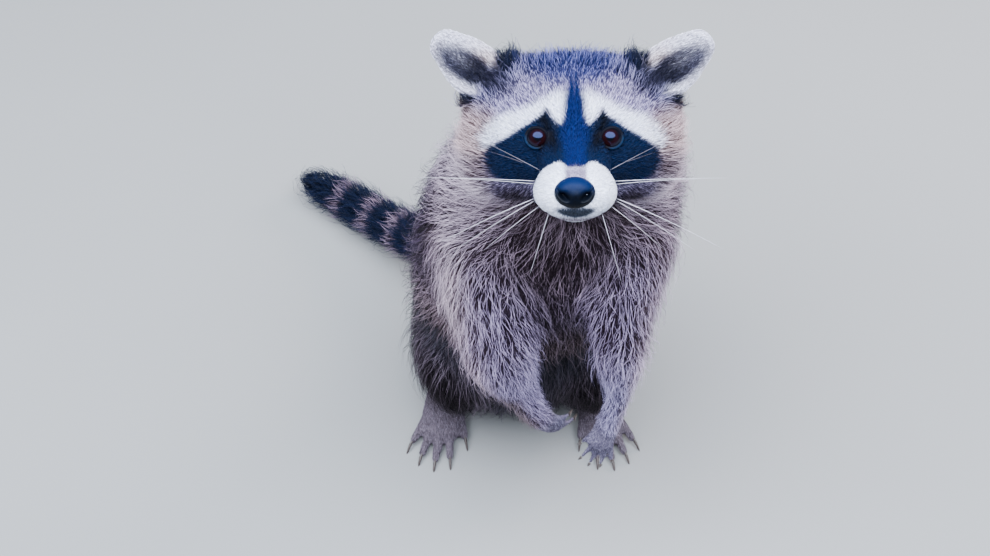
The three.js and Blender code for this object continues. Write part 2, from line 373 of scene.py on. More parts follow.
def merged_copy(names, swell=0.0):
    """Copies of the solids of these nodes in one bmesh, with shared corners merged."""
    form = bmesh.new()
    for name in names:
        form.from_mesh(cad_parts[name].data)
    bmesh.ops.remove_doubles(form, verts=form.verts, dist=MERGE * MM)
    form.normal_update()
    for corner in form.verts:
        corner.co += corner.normal * swell * MM
    return form


def wrapped(names):
    carrier = object_from(mesh_from(merged_copy(names, SWELL), "wrap"), "wrap")
    remesh = carrier.modifiers.new("one surface", "REMESH")
    remesh.mode = "VOXEL"
    remesh.voxel_size = VOXEL * MM
    return mesh_after_modifiers(carrier)


outline = wrapped([*flesh, "eye_left", "eye_right", "nose"])
print("outline:", len(outline.polygons), "faces")

# %% [markdown]
# ## Which part of the body each point belongs to
# The coat is long on the back and short on the paws, and one kind runs into
# the other. Each point takes the name of the nearest solid, and the names are
# then averaged along the net, which gives every point its share of each kind.

# %% Shares of each kind of coat
KINDS = ("head", "ear", "neck", "trunk", "tail", "upper_arm", "forearm", "hand", "thigh", "shank", "foot")


class Net:
    """Averages values with those of the neighbours along the edges."""

    def __init__(self, edges, count):
        self.first = np.concatenate((edges[:, 0], edges[:, 1]))
        self.second = np.concatenate((edges[:, 1], edges[:, 0]))
        self.count = count
        self.degree = np.maximum(np.bincount(self.first, minlength=count), 1)

    def average(self, values):
        columns = [
            np.bincount(self.first, weights=column[self.second], minlength=self.count)
            for column in np.atleast_2d(values.T)
        ]
        means = np.array(columns) / self.degree
        return means.T if values.ndim > 1 else means[0]

    def relax(self, values, rounds, strength=0.5):
        for _ in range(rounds):
            blend = strength * (self.average(values) - values)
            values = values + blend
        return values


def nearest_kind(points):
    corners, faces, kinds = [], [], []
    for name in flesh:
        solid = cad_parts[name].data
        start = len(corners)
        corners += [corner.co / MM for corner in solid.vertices]
        kind = next(index for index, word in enumerate(KINDS) if name.startswith(word))
        for face in solid.polygons:
            faces.append([start + index for index in face.vertices])
            kinds.append(kind)
    tree = BVHTree.FromPolygons(corners, faces)
    return np.array([kinds[tree.find_nearest(point)[2]] for point in points.tolist()])


print("kinds of coat:", len(KINDS))

# %% [markdown]
# The face, ears and paws keep the fine net. Elsewhere a Decimate modifier
# takes away what the long coat would hide, led by a vertex group. Eyelids
# and lips are only a millimetre or two, so edges near those are divided again.

# %% Thin the net under the long coat, and divide it at eyes and mouth
COARSE_SHARE = 0.2
BLEND_ROUNDS = (16, 80)
FINE_KINDS = ("ear", "hand", "foot")


def corner_places(form):
    return np.array([corner.co[:] for corner in form.verts]) / MM


def on_front_of_face(points):
    head_points = in_head(points)
    return (head_points[:, 1] < -14) & (np.abs(head_points[:, 0]) < 50)


def thinned(mesh):
    places = np.empty(len(mesh.vertices) * 3)
    mesh.vertices.foreach_get("co", places)
    places = places.reshape(-1, 3) / MM
    kinds = nearest_kind(places)
    fine = np.isin(kinds, [KINDS.index(kind) for kind in FINE_KINDS])
    fine |= on_front_of_face(places) & (kinds == KINDS.index("head"))
    carrier = object_from(mesh, "thin")
    group = carrier.vertex_groups.new(name="coarse")
    group.add(np.flatnonzero(~fine).tolist(), 1.0, "REPLACE")
    thinning = carrier.modifiers.new("thinning", "DECIMATE")
    thinning.vertex_group = "coarse"
    thinning.vertex_group_factor = 1.0
    thinning.ratio = fine.mean() + COARSE_SHARE * (1 - fine.mean())
    return mesh_after_modifiers(carrier)


def near_eyes_or_mouth(points, eye_reach, mouth_reach):
    head_points = in_head(points)
    mouth = line_distance(head_points, [(-12, -78, -29), (0, -82, -28), (12, -78, -29)])
    chosen = mouth < mouth_reach
    for side in (-1, 1):
        eye = on_side(side, EYE_PLACE) - (0, 5, 0)
        chosen |= lengths_of(head_points - eye) < eye_reach
    return chosen


def divide_near(form, chosen):
    edges = [edge for edge in form.edges if all(chosen[corner.index] for corner in edge.verts)]
    bmesh.ops.subdivide_edges(form, edges=edges, cuts=1, use_grid_fill=True, smooth=0)
    form.verts.ensure_lookup_table()
    form.verts.index_update()


form = bmesh.new()
form.from_mesh(thinned(outline))
divide_near(form, near_eyes_or_mouth(corner_places(form), eye_reach=14, mouth_reach=9))
bmesh.ops.triangulate(form, faces=form.faces)
form.verts.index_update()
points = corner_places(form)
triangles = np.array([[corner.index for corner in face.verts] for face in form.faces])
edges = np.array([[corner.index for corner in edge.verts] for edge in form.edges])
form.free()
print("skin net:", len(points), "points", len(triangles), "triangles")

net = Net(edges, len(points))
shares = np.eye(len(KINDS))[nearest_kind(points)]
shares = net.relax(shares, BLEND_ROUNDS[0])
drifted = net.relax(shares, BLEND_ROUNDS[1])
sharp = shares[:, [KINDS.index(kind) for kind in ("head", "ear", "hand", "foot")]].sum(axis=1)
shares = drifted + soft_step(0.0, 0.6, sharp)[:, None] * (shares - drifted)
share_of = {kind: shares[:, index] for index, kind in enumerate(KINDS)}
print("shares:", {kind: int(share.sum()) for kind, share in share_of.items()})

# %% [markdown]
# ## How deep and how long the coat is
# A raccoon has short velvet on the muzzle, a few millimetres on the brow, full
# cheeks, and a deep woolly coat with guard hairs on the body. One small table
# states this, and the shares blend it over the skin.

# %% The coat's measures, in millimetres
HEAD_KINDS = ("muzzle", "face", "crown", "cheek")
COAT = {
    # kind:      depth, length, width, gap between roots, how far tips draw together
    "muzzle": (0.9, 3.0, 0.4, 0.8, 0.0),
    "face": (1.7, 5.6, 0.46, 0.88, 0.1),
    "crown": (4.5, 11.0, 0.52, 1.0, 0.15),
    "cheek": (8.0, 19.0, 0.58, 1.15, 0.25),
    "ear": (1.2, 5.0, 0.42, 0.92, 0.1),
    "neck": (12.0, 25.0, 0.66, 1.3, 0.3),
    "trunk": (12.0, 25.0, 0.74, 1.5, 0.3),
    "tail": (9.0, 16.0, 0.74, 1.4, 0.15),
    "upper_arm": (9.0, 20.0, 0.66, 1.3, 0.3),
    "forearm": (4.0, 11.0, 0.52, 1.1, 0.15),
    "hand": (0.5, 2.6, 0.4, 0.85, 0.0),
    "thigh": (11.0, 24.0, 0.74, 1.5, 0.3),
    "shank": (4.0, 11.0, 0.62, 1.3, 0.2),
    "foot": (0.6, 3.6, 0.44, 0.95, 0.0),
}


def head_parts(head_points):
    """Shares of the muzzle, the face, the crown and the cheeks on the head."""
    across, back, up = folded(head_points).T
    muzzle = soft_step(-48, -60, back)
    face = (1 - muzzle) * soft_step(60, 46, across) * soft_step(-6, -22, back)
    cheek = (1 - muzzle - face) * soft_step(12, -10, up)
    return dict(zip(HEAD_KINDS, (muzzle, face, 1 - muzzle - face - cheek, cheek)))


def kinds_at(points, shares):
    """The share of every kind of coat, by name, at each point."""
    mix = {kind: shares[:, index] for index, kind in enumerate(KINDS)}
    on_head = mix.pop("head")
    for kind, share in head_parts(in_head(points)).items():
        mix[kind] = share * on_head
    return mix


def measure(mix, column):
    return sum(share * COAT[kind][column] for kind, share in mix.items())


mix = kinds_at(points, shares)
print("coat depth from", measure(mix, 0).min().round(2), "to", measure(mix, 0).max().round(2), "mm")

# %% [markdown]
# ## The skin lies under the coat
# The outline is the tips of the coat, so the skin is found by moving it inwards
# by the coat's depth. It is moved a little at a time and smoothed between, as
# a sculptor would sand a cast, so that creases open and no fold turns over.

# %% Move the outline in to the skin
SOFTNESS = {"ear": 0.16, "hand": 0.1, "foot": 0.12, "muzzle": 0.3, "face": 0.35, "crown": 0.5}
PUSHES = 5
FIRST_SANDING = 26
SANDING = 3
SKIN_ABOVE_FLOOR = 0.5


def corner_normals(points):
    first, second, third = (points[triangles[:, corner]] for corner in range(3))
    across = np.cross(second - first, third - first)
    sums = [
        np.bincount(triangles.ravel(), weights=np.repeat(across[:, axis], 3), minlength=len(points))
        for axis in range(3)
    ]
    return unit(np.array(sums).T)


softness = sum(share * SOFTNESS.get(kind, 1.0) for kind, share in mix.items())


def sanded(points, rounds):
    for _ in range(rounds):
        points = points + 0.5 * softness[:, None] * (net.average(points) - points)
    return points


points = sanded(points, FIRST_SANDING)
for _ in range(PUSHES):
    points = points - corner_normals(points) * (measure(mix, 0) / PUSHES)[:, None]
    points = sanded(points, SANDING)
points[:, 2] = np.maximum(points[:, 2], SKIN_ABOVE_FLOOR)
print("skin from", points.min(axis=0).round(1), "to", points.max(axis=0).round(1))

# %% [markdown]
# ## Eyelids, nose seat and lips
# The lids of a raccoon hug the eyeball, so they are made by its own shape: the
# skin round the eye is drawn onto a sphere a little larger than the eyeball,
# and inside an almond-shaped opening it sinks behind it. The opening is an
# ellipse of angles seen from the eye's middle.

# %% Eyelids
LID = 0.9
LID_RIM = 0.3
OPENING = (math.radians(53), math.radians(46))
EYE_AXIS = (0.16, -1.0, 0.2)
EYE_SLANT = math.radians(14)


def square_to(vector, *others):
    """The part of a vector that is at right angles to the others, as a unit vector."""
    for other in others:
        vector = vector - (vector @ other) * other
    return unit(vector)


def eye_frame(side):
    """The middle of an eye and its axes: out through the pupil, outwards, up."""
    ahead = unit(on_side(side, EYE_AXIS))
    level = square_to(on_side(side, (1, 0, 0)), ahead)
    upright = square_to(np.array((0.0, 0.0, 1.0)), ahead, level)
    outwards = math.cos(EYE_SLANT) * level + math.sin(EYE_SLANT) * upright
    upwards = math.cos(EYE_SLANT) * upright - math.sin(EYE_SLANT) * level
    return on_side(side, EYE_PLACE), ahead, outwards, upwards


def opening_share(head_points, side):
    """Angle from the eye's axis, 1 at the edge of the lids, and the way off the middle."""
    middle, ahead, outwards, upwards = eye_frame(side)
    offset = head_points - middle
    reach = lengths_of(offset)
    way = offset / np.maximum(reach, 1e-6)[:, None]
    angle = np.arccos(np.clip(way @ ahead, -1, 1))
    round_axis = np.arctan2(way @ upwards, way @ outwards)
    edge = 1 / np.hypot(np.cos(round_axis) / OPENING[0], np.sin(round_axis) / OPENING[1])
    return angle / edge, way, reach, middle


def with_eyelids(head_points):
    for side in (-1, 1):
        share, way, reach, middle = opening_share(head_points, side)
        height = EYE_RADIUS + LID + LID_RIM * bump_at(share - 1.08, 0.09)
        height = height - 0.5 * bump_at(share - 1.42, 0.1)
        height = height - (LID + 2.2) * soft_step(1.02, 0.9, share)
        near = soft_step(2.1, 1.5, share) * soft_step(24, 18, reach)
        reach = reach + near * (height - reach)
        head_points = middle + way * reach[:, None]
    return head_points


head_points = with_eyelids(in_head(points))
print("eyelids done")

# %% [markdown]
# The lips meet in a line that starts under the nose and runs back along the
# jaw. Its path is stated loosely and dropped onto the skin, and the skin sinks
# along it. Under the nose pad the skin is hidden, so it is drawn inside it.

# %% Lips, philtrum and the seat of the nose
NOSE_RADII = np.array((12.6, 10, 9.6))
LIPS = [(0, -80, -31.8), (5, -80, -31.4), (10, -80.5, -29.6), (14, -74, -29.2), (18, -65, -30.5),
        (19.5, -55, -32), (19, -48, -31)]
PHILTRUM = [(0, -88, -24), (0, -84, -28), (0, -82, -30.6)]
TEAR_LINE = [(16.5, -46, 4.5), (13.5, -50, 1.5), (12.5, -53, -1)]


def walked(path, step=0.8):
    """Points along a bent line, a step apart."""
    made = []
    for start, end in legs(path):
        count = max(2, int(lengths_of(end - start) / step))
        made += [start + (end - start) * share for share in np.linspace(0, 1, count)]
    return np.array(made)


def on_surface(path, tree):
    return np.array([tree.find_nearest(point)[0][:] for point in walked(path).tolist()])


def groove(head_points, path, depth, width):
    surface = BVHTree.FromPolygons(head_points.tolist(), triangles.tolist())
    for side in (-1, 1):
        line = on_surface(on_side(side, path), surface)
        gap = line_distance(head_points, line)
        way = corner_normals(head_points)
        head_points = head_points - way * (depth * bump_at(gap, width))[:, None]
    return head_points


def with_nose_seat(head_points):
    offset = (head_points - NOSE_IN_HEAD) / NOSE_RADII
    reach = lengths_of(offset)
    sunk = np.where(reach < 1.04, 0.45, 0.9)
    share = soft_step(1.22, 1.04, reach)
    reach_to = reach + share * (np.minimum(sunk, reach) - reach)
    return NOSE_IN_HEAD + offset * (reach_to / np.maximum(reach, 1e-6))[:, None] * NOSE_RADII


head_points = with_nose_seat(head_points)
head_points = groove(head_points, LIPS, depth=0.6, width=1.0)
head_points = groove(head_points, PHILTRUM, depth=0.35, width=0.8)
head_points = groove(head_points, TEAR_LINE, depth=0.35, width=1.2)
points = from_head(head_points)
normals = corner_normals(points)
print("face sculpted")

# %% [markdown]
# ## Markings
# The mask, the white brows, the stripe up the forehead, the ringed tail: these
# are the same on skin and coat, so one function gives them for any point. Each
# place gets the colour of the woolly underfur, the colour of the tips of the
# guard hairs, and how many of the hairs have such tips.

# %% Outlines of the face's markings, in the head's axes (across, up)
MASK = [
    (0, 18), (8.2, 16.2), (13, 20), (17, 25.5), (20, 21), (27.5, 16), (35, 10.5), (44, 3.8), (53, -3.4),
    (55, -12), (51, -21), (44, -24.5), (32, -24.5), (25, -22.5), (20, -22), (0, -14),
]
STRIPE = [(0, 44.5), (1.6, 43.5), (2.9, 40), (3.5, 35), (3.9, 30), (5.4, 21), (8.2, 16.2), (8.2, 8), (0, 8)]
BROW = [
    (8.3, 15.5), (4.6, 22), (3.2, 28), (3.6, 34.3), (10, 34.8), (18, 30.8), (23.5, 27.4), (33, 22.8),
    (44.7, 18), (52, 10.5), (56.5, 1), (55.5, -4), (53, -3.4), (44.7, 2.8), (35, 9.6), (27.4, 16.2),
    (20, 21), (16.8, 25.3), (12.5, 20),
]
NOTCH = [(20, 23), (17, 15), (13, 7)]
WHITE_EDGE = ((4, -72), (7, -68.5), (9, -65.5), (11.5, -63.4), (16, -61.5), (21, -58), (26, -54))
print("corners of the mask:", len(MASK))

# %% [markdown]
# One table holds the colours of each kind of coat, and a small class mixes them
# by the shares. To paint is to move the mix towards other colours by a share,
# so that a marking can be hard or soft, and a later one covers an earlier one.

# %% Colours of each kind of coat
WHITE = (0.77, 0.79, 0.93)
BLUE_BLACK = (0.001, 0.005, 0.020)
STRIPE_BLUE = (0.001, 0.007, 0.050)

# under colour, tip colour, share of pale tips
FUR = {
    "muzzle": (WHITE, WHITE, 1.0),
    "face": ((0.052, 0.042, 0.088), (0.40, 0.35, 0.56), 0.62),
    "crown": ((0.014, 0.014, 0.040), (0.23, 0.21, 0.36), 0.45),
    "cheek": ((0.056, 0.034, 0.042), (0.42, 0.34, 0.41), 0.70),
    "ear": ((0.22, 0.20, 0.24), (0.68, 0.67, 0.80), 0.9),
    "neck": ((0.018, 0.010, 0.016), (0.26, 0.20, 0.27), 0.40),
    "trunk": ((0.005, 0.003, 0.006), (0.046, 0.033, 0.052), 0.30),
    "tail": ((0.002, 0.004, 0.012), (0.004, 0.008, 0.028), 0.5),
    "upper_arm": ((0.016, 0.009, 0.016), (0.34, 0.27, 0.42), 0.36),
    "forearm": ((0.050, 0.037, 0.066), (0.35, 0.29, 0.47), 0.60),
    "hand": ((0.065, 0.054, 0.086), (0.28, 0.25, 0.36), 0.55),
    "thigh": ((0.004, 0.0025, 0.0035), (0.014, 0.009, 0.013), 0.3),
    "shank": ((0.015, 0.010, 0.013), (0.065, 0.050, 0.065), 0.3),
    "foot": ((0.055, 0.042, 0.052), (0.18, 0.15, 0.19), 0.6),
}


class Coat:
    """Colours of the coat at some points: under, tips, and the share of pale tips."""

    def __init__(self, mix):
        self.under = sum(np.outer(share, FUR[kind][0]) for kind, share in mix.items())
        self.tips = sum(np.outer(share, FUR[kind][1]) for kind, share in mix.items())
        self.pale = sum(share * FUR[kind][2] for kind, share in mix.items())

    def paint(self, share, under, tips, pale):
        self.under = moved(self.under, share, under)
        self.tips = moved(self.tips, share, tips)
        self.pale += share * (pale - self.pale)


print("kinds with colours of their own:", len(FUR))

# %% [markdown]
# On the body, one colour runs into the next. The chest is dark with pale tips,
# greyer to its sides and on the belly, and its lowest front is painted near black
# as painted shade. A painted rim of light edges neck and shoulders. The forearms
# are light outside and dark on the pads of the hand, the right one painted darker
# on its outer side as painted shade, and the left one painted paler as painted light.

# %% Body and arms
def paint_body(coat, points, normals, mix):
    """Chest, belly and back differ, the lowest front is painted shade, and a painted rim of light edges neck
    and shoulder.
    """
    x, y, z = points.T
    body = mix["trunk"] + mix["neck"]
    front = soft_step(-0.05, -0.6, normals[:, 1]) * body
    side = np.abs(x - HEAD_PLACE[0]) / 70
    coat.paint(front, (0.006, 0.003, 0.0045), (0.20, 0.14, 0.18), 0.10)
    coat.paint(front * soft_step(0.3, 0.85, side) * 0.85, (0.017, 0.009, 0.015), (0.33, 0.25, 0.33), 0.37)
    belly = front * soft_step(195, 165, z)
    coat.paint(belly * 0.8, (0.022, 0.013, 0.014), (0.22, 0.155, 0.175), 0.36)
    # Painted shade: the front below about 140 mm is painted near black, as shade under the chest.
    coat.paint(front * soft_step(148, 138, z), (0.006, 0.007, 0.012), (0.045, 0.045, 0.068), 0.3)
    upper = (body + mix["upper_arm"]) * soft_step(170, 200, z)
    shade = upper * soft_step(-42, -51, x)
    coat.paint(shade * 0.95, (0.005, 0.003, 0.007), (0.060, 0.040, 0.078), 0.30)
    # Painted rim light: a pale band on each side of neck and shoulders, where they meet the outline, as light
    # edging the coat.
    right_rim_light = bump_at(x + 35, 7) * soft_step(-20, -40, y)
    left_rim_light = soft_step(98, 108, x)
    coat.paint(upper * (right_rim_light + left_rim_light) * 0.7, (0.040, 0.025, 0.032), (0.50, 0.41, 0.49), 0.58)


def paint_arms(coat, points, normals, mix):
    """A warm tint on the outer side of the forearms, cream at the elbow, painted shade on the outer side of
    the right arm and painted light on the left forearm.
    """
    right_arm = points[:, 0] < HEAD_PLACE[0]
    outer = soft_step(0.15, 0.85, np.where(right_arm, -1, 1) * normals[:, 0])
    arm = mix["forearm"] + 0.5 * mix["upper_arm"]
    coat.paint(arm * outer * 0.7, (0.085, 0.050, 0.050), (0.50, 0.36, 0.34), 0.7)
    elbow = bump_at(lengths_of(points - (-30, -105, 165)), 14)
    coat.paint(elbow * arm * 0.8, (0.16, 0.12, 0.12), (0.62, 0.53, 0.55), 0.85)
    # Painted shade: the outer side of the right arm, below about 160 mm, is painted dark.
    outer_right_shade = soft_step(-0.5, 0.3, -normals[:, 0]) * soft_step(170, 154, points[:, 2]) * right_arm
    coat.paint(arm * outer_right_shade * 0.85, (0.022, 0.014, 0.016), (0.20, 0.145, 0.16), 0.5)
    # Painted light: the whole left forearm is painted paler and bluer, as the lit one of the pair.
    coat.paint(mix["forearm"] * (1 - right_arm) * 0.45, (0.075, 0.066, 0.125), (0.43, 0.40, 0.64), 0.66)
    for place in ((39, -128, 121), (61, -130, 99)):
        pads = bump_at(lengths_of(points - place), 9) * mix["hand"]
        coat.paint(pads * 0.75, (0.004, 0.007, 0.015), (0.03, 0.04, 0.08), 0.3)


print("right and left part at x =", round(HEAD_PLACE[0], 1))

# %% [markdown]
# The tail is dark with narrow pale rings. Rings are even, so one pitch along the
# middle line of the tail gives them all, and the tip beyond the last stays dark.

# %% The ringed tail
TAIL_LINE = [(-14, 38, 60), (-54, 90, 45), (-92, 127, 27), (-134, 164, 19), (-157, 178, 19), (-173, 189, 19)]
RING_PITCH = 33.5
LAST_RING = 181
RING_HALF_WIDTH = 3.0


def paint_tail(coat, points, mix):
    place = beside_line(points, TAIL_LINE)[1]
    off_ring = np.abs((place - LAST_RING + RING_PITCH / 2) % RING_PITCH - RING_PITCH / 2)
    pale = soft_step(RING_HALF_WIDTH + 1.6, RING_HALF_WIDTH - 1.6, off_ring)
    pale *= soft_step(LAST_RING + RING_PITCH / 2, LAST_RING + 6, place) * mix["tail"]
    coat.paint(pale, (0.10, 0.068, 0.092), (0.24, 0.175, 0.24), 0.85)


print("rings on the tail:", int(LAST_RING / RING_PITCH))

# %% [markdown]
# An ear is dark in its hollow, partly its own dark skin and partly painted shade,
# darkest in its middle. It is tan where the rim turns over and pale at its edge,
# and dark tufts stand above and below its root.

# %% The ears
EAR_TUFTS = (((41, 13, 46), (9, 15, 14)), ((67, 10, 21), (8, 24, 6.5)))


def ear_tufts(head_points):
    """Where dark tufts stand, above and below the root of each ear: 1 there, 0 elsewhere."""
    one_side = folded(head_points)
    gaps = [lengths_of((one_side - middle) / reach) for middle, reach in EAR_TUFTS]
    return soft_step(1.25, 0.85, np.min(gaps, axis=0))


def paint_ears(coat, head_points, mix):
    for side in (-1, 1):
        spot = in_ear(head_points, side)
        this_side = side * head_points[:, 0] > 0
        ear = mix["ear"] * this_side
        near_ear = (mix["ear"] + mix["crown"] + mix["cheek"] + mix["face"] + mix["neck"]) * this_side
        inner = -side * spot[:, 0]
        dark = np.hypot((inner + 2.0 + 0.12 * (spot[:, 2] - 20)) / 9.8, (spot[:, 2] - 18.5) / 25)
        # The hollow is painted dark, partly the ear's own dark skin and partly painted shade.
        hollow = soft_step(1.32, 0.66, dark) * soft_step(4, -0.5, spot[:, 1]) * near_ear
        # Painted shade: darker still towards the middle of the hollow.
        deep = hollow * bump_at(np.hypot(inner + 1, spot[:, 2] - 14), 15)
        tan = bump_at(np.hypot((inner - 9) / 7, (spot[:, 2] - 13) / 11), 1.0) * ear
        coat.paint(tan * 0.8, (0.16, 0.11, 0.10), (0.52, 0.41, 0.40), 0.8)
        coat.paint(hollow * 0.95, (0.005, 0.005, 0.014), (0.030, 0.028, 0.056), 0.45)
        coat.paint(deep * 0.95, (0.002, 0.002, 0.006), (0.006, 0.006, 0.015), 0.25)
        back = ear * soft_step(4, 10, spot[:, 1])
        coat.paint(back, (0.04, 0.035, 0.05), (0.23, 0.21, 0.27), 0.6)
        dark_root = ear_tufts(head_points) * near_ear * (1 - hollow)
        coat.paint(dark_root, (0.001, 0.002, 0.008), (0.004, 0.006, 0.020), 0.3)


print("points of the skin in dark tufts:", int(ear_tufts(head_points).sum()))

# %% [markdown]
# The face is painted from below: first the long hair round it, then the brows,
# the mask and the stripe over them, and last the muzzle, the lips and the bridge
# of the nose. A blur widens an edge where the real one is soft.

# %% The face
def paint_face(coat, head_points, mix):
    head_share = sum(mix[kind] for kind in HEAD_KINDS)
    across, back, up = folded(head_points).T
    flat = np.column_stack((across, up))
    front = soft_step(-4, -14, back) * head_share

    def filled(outline, blur=1.0):
        return soft_step(-1, 1, inside_by(flat, outline) / blur) * front

    white_from = np.interp(across, *np.transpose(WHITE_EDGE))
    muzzle = soft_step(white_from + 0.8, white_from - 0.8, back) * head_share
    ruff = soft_step(42, 60, across) * mix["cheek"]
    coat.paint(ruff * 0.8, (0.080, 0.052, 0.062), (0.62, 0.52, 0.60), 0.80)
    throat = soft_step(40, 20, across) * mix["cheek"] * soft_step(-20, -34, up)
    coat.paint(throat * 0.85, (0.012, 0.006, 0.009), (0.16, 0.11, 0.14), 0.2)
    top = soft_step(44, 14, across) * soft_step(35, 45, up) * head_share
    coat.paint(top * 0.85, (0.004, 0.009, 0.056), (0.085, 0.095, 0.28), 0.34)
    behind = soft_step(15, 30, back) * soft_step(0, 20, up) * head_share
    coat.paint(behind, (0.018, 0.012, 0.018), (0.20, 0.16, 0.20), 0.4)
    under_mask = np.column_stack((across - 38, back + 20, up + 38)) * (0.6, 1, 0.8)
    dark_cheek = bump_at(lengths_of(under_mask), 13) * head_share
    coat.paint(dark_cheek * 0.95, (0.006, 0.003, 0.005), (0.040, 0.025, 0.033), 0.25)
    temple = soft_step(42, 52, across) * soft_step(26, 10, up) * soft_step(-18, -4, up) * head_share
    coat.paint(temple * 0.85, (0.090, 0.054, 0.050), (0.46, 0.33, 0.33), 0.75)
    corner = bump_at(np.hypot(across - 58, up + 17), 10) * head_share
    coat.paint(corner * 0.8, (0.020, 0.011, 0.014), (0.14, 0.095, 0.11), 0.4)
    brow = soft_step(-3.2, 3.0, inside_by(flat, BROW)) * front
    coat.paint(brow, (0.52, 0.53, 0.66), WHITE, 1.0)
    blur = 0.9 + 1.8 * soft_step(-12, -22, up) + 1.2 * soft_step(46, 54, across)
    coat.paint(filled(MASK, blur), BLUE_BLACK, (0.003, 0.010, 0.036), 0.5)
    notch = bump_at(line_distance(flat, NOTCH), 4.5) * filled(MASK)
    coat.paint(notch, (0.0006, 0.0012, 0.004), (0.001, 0.002, 0.008), 0.3)
    blur = 0.9 + 3.2 * soft_step(20, 12, up) + 1.2 * soft_step(36, 44, up)
    coat.paint(filled(STRIPE, blur), STRIPE_BLUE, STRIPE_BLUE, 0.5)
    coat.paint(muzzle * soft_step(-34.5, -32.5, up), (0.66, 0.69, 0.83), WHITE, 1.0)
    under_chin = muzzle * soft_step(-32.5, -36, up)
    coat.paint(under_chin, (0.12, 0.09, 0.11), (0.26, 0.21, 0.26), 0.6)
    lens = np.hypot(across / 13, (up + 29.8 - 0.014 * across ** 2) / 4.2)
    lips = soft_step(1.12, 0.72, lens) * soft_step(-64, -69, back) * head_share
    coat.paint(lips * 0.97, (0.003, 0.007, 0.016), (0.004, 0.009, 0.022), 0.5)
    bridge = soft_step(9.4, 3.6, across) * soft_step(-15, -12, up) * soft_step(-30, -42, back)
    coat.paint(bridge * soft_step(-75, -69, back) * head_share, STRIPE_BLUE, STRIPE_BLUE, 0.4)
    strip = soft_step(8.0, 5.2, across) * soft_step(-15, -12, up) * soft_step(-69, -75, back)
    coat.paint(strip * 0.9, (0.105, 0.075, 0.125), (0.20, 0.155, 0.245), 0.8)


def coat_at(points, normals, mix):
    coat = Coat(mix)
    paint_body(coat, points, normals, mix)
    paint_arms(coat, points, normals, mix)
    paint_tail(coat, points, mix)
    head_points = in_head(points)
    paint_ears(coat, head_points, mix)
    paint_face(coat, head_points, mix)
    return coat


mix = kinds_at(points, shares)
coat = coat_at(points, normals, mix)
print("mean colour of the underfur:", coat.under.mean(axis=0).round(3))

# %% [markdown]
# ## Bare skin
# Lids, lips and the soles are bare and dark, and the wet rim of the lower lid
# is painted pale blue as a painted reflection. The skin piece carries its colours
# as an attribute, one colour for each point, and a second attribute says
# where it is bare, so that its finish there is smoother and a little moist.

# %% Bare places
BARE = (0.002, 0.002, 0.004)
# Painted reflection: pale blue on the wet rim of the lower lid, as light mirrored on its edge.
RIM_REFLECTION = (0.003, 0.016, 0.044)
SOLE = (0.035, 0.027, 0.034)
LID_REACH = 14
TIPS_ON_SKIN = 0.35


def lid_share(head_points):
    """How near a lid each point is: over 0 on the bare rim of the lids."""
    shares = [opening_share(head_points, side) for side in (-1, 1)]
    near = [soft_step(1.34, 1.18, share) * (reach < LID_REACH) for share, _, reach, _ in shares]
    return np.max(near, axis=0)


def rim_reflection_share(head_points):
    """Where a reflection is painted on the wet rim of the lower lid."""
    rims = []
    for side in (-1, 1):
        share, way, reach, _ = opening_share(head_points, side)
        _, _, outwards, upwards = eye_frame(side)
        low = soft_step(0.15, -0.25, way @ upwards) * soft_step(-0.5, -0.1, way @ outwards)
        rims.append(bump_at(share - 1.09, 0.07) * low * (reach < LID_REACH))
    return np.max(rims, axis=0)


def lip_share(head_points):
    one_side = folded(head_points)
    gap = line_distance(one_side, LIPS)
    corner = soft_step(6, 13, one_side[:, 0])
    return soft_step(1.5 - 0.9 * corner, 0.7 - 0.5 * corner, gap)


lids = lid_share(head_points)
lips = lip_share(head_points)
soles = mix["foot"] * soft_step(-0.3, -0.6, normals[:, 2])
skin_colour = coat.under + TIPS_ON_SKIN * coat.pale[:, None] * (coat.tips - coat.under)
for share, colour in ((lids, BARE), (rim_reflection_share(head_points), RIM_REFLECTION), (lips, BARE), (soles, SOLE)):
    skin_colour = moved(skin_colour, share, colour)
bare = np.maximum.reduce((lids, lips, soles))


def give_colours(mesh, colours, name="coat"):
    layer = mesh.color_attributes.new(name, "FLOAT_COLOR", "POINT")
    layer.data.foreach_set("color", np.column_stack((colours, np.ones(len(colours)))).ravel())


def give_values(mesh, values, name):
    layer = mesh.attributes.new(name, "FLOAT", "POINT")
    layer.data.foreach_set("value", values)


def mesh_of(name, points, faces):
    """A smooth mesh from points in millimetres and triangles or other like faces."""
    mesh = bpy.data.meshes.new(name)
    sides = faces.shape[1]
    mesh.vertices.add(len(points))
    mesh.vertices.foreach_set("co", (points * MM).ravel())
    mesh.loops.add(faces.size)
    mesh.loops.foreach_set("vertex_index", faces.ravel())
    mesh.polygons.add(len(faces))
    mesh.polygons.foreach_set("loop_start", np.arange(len(faces)) * sides)
    mesh.update(calc_edges=True)
    mesh.shade_smooth()
    return mesh


skin_mesh = mesh_of("skin", points, triangles)
give_colours(skin_mesh, skin_colour)
give_values(skin_mesh, bare, "bare")


def skin_finish():
    made, tree, shader = material("skin", roughness=0.6, specular=0.04)
    colour = attribute(tree, "coat")
    bare_here = attribute(tree, "bare", "Fac")
    mottle = noise(tree, 260, detail=4)
    nap = noise(tree, 900, detail=2)
    colour = tint(tree, colour, 0.75 + mottle * 0.5)
    feed(tree, shader, Base_Color=colour, Roughness=0.78 - bare_here * 0.22)
    bumps(tree, shader, nap * (1.15 - bare_here) + mottle * 0.4, strength=0.6, distance=0.5)
    return made


skin = object_from(skin_mesh, "skin")
skin_mesh.materials.append(skin_finish())
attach(skin, "root")
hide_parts(*flesh)
print("skin:", len(skin_mesh.polygons), "triangles")

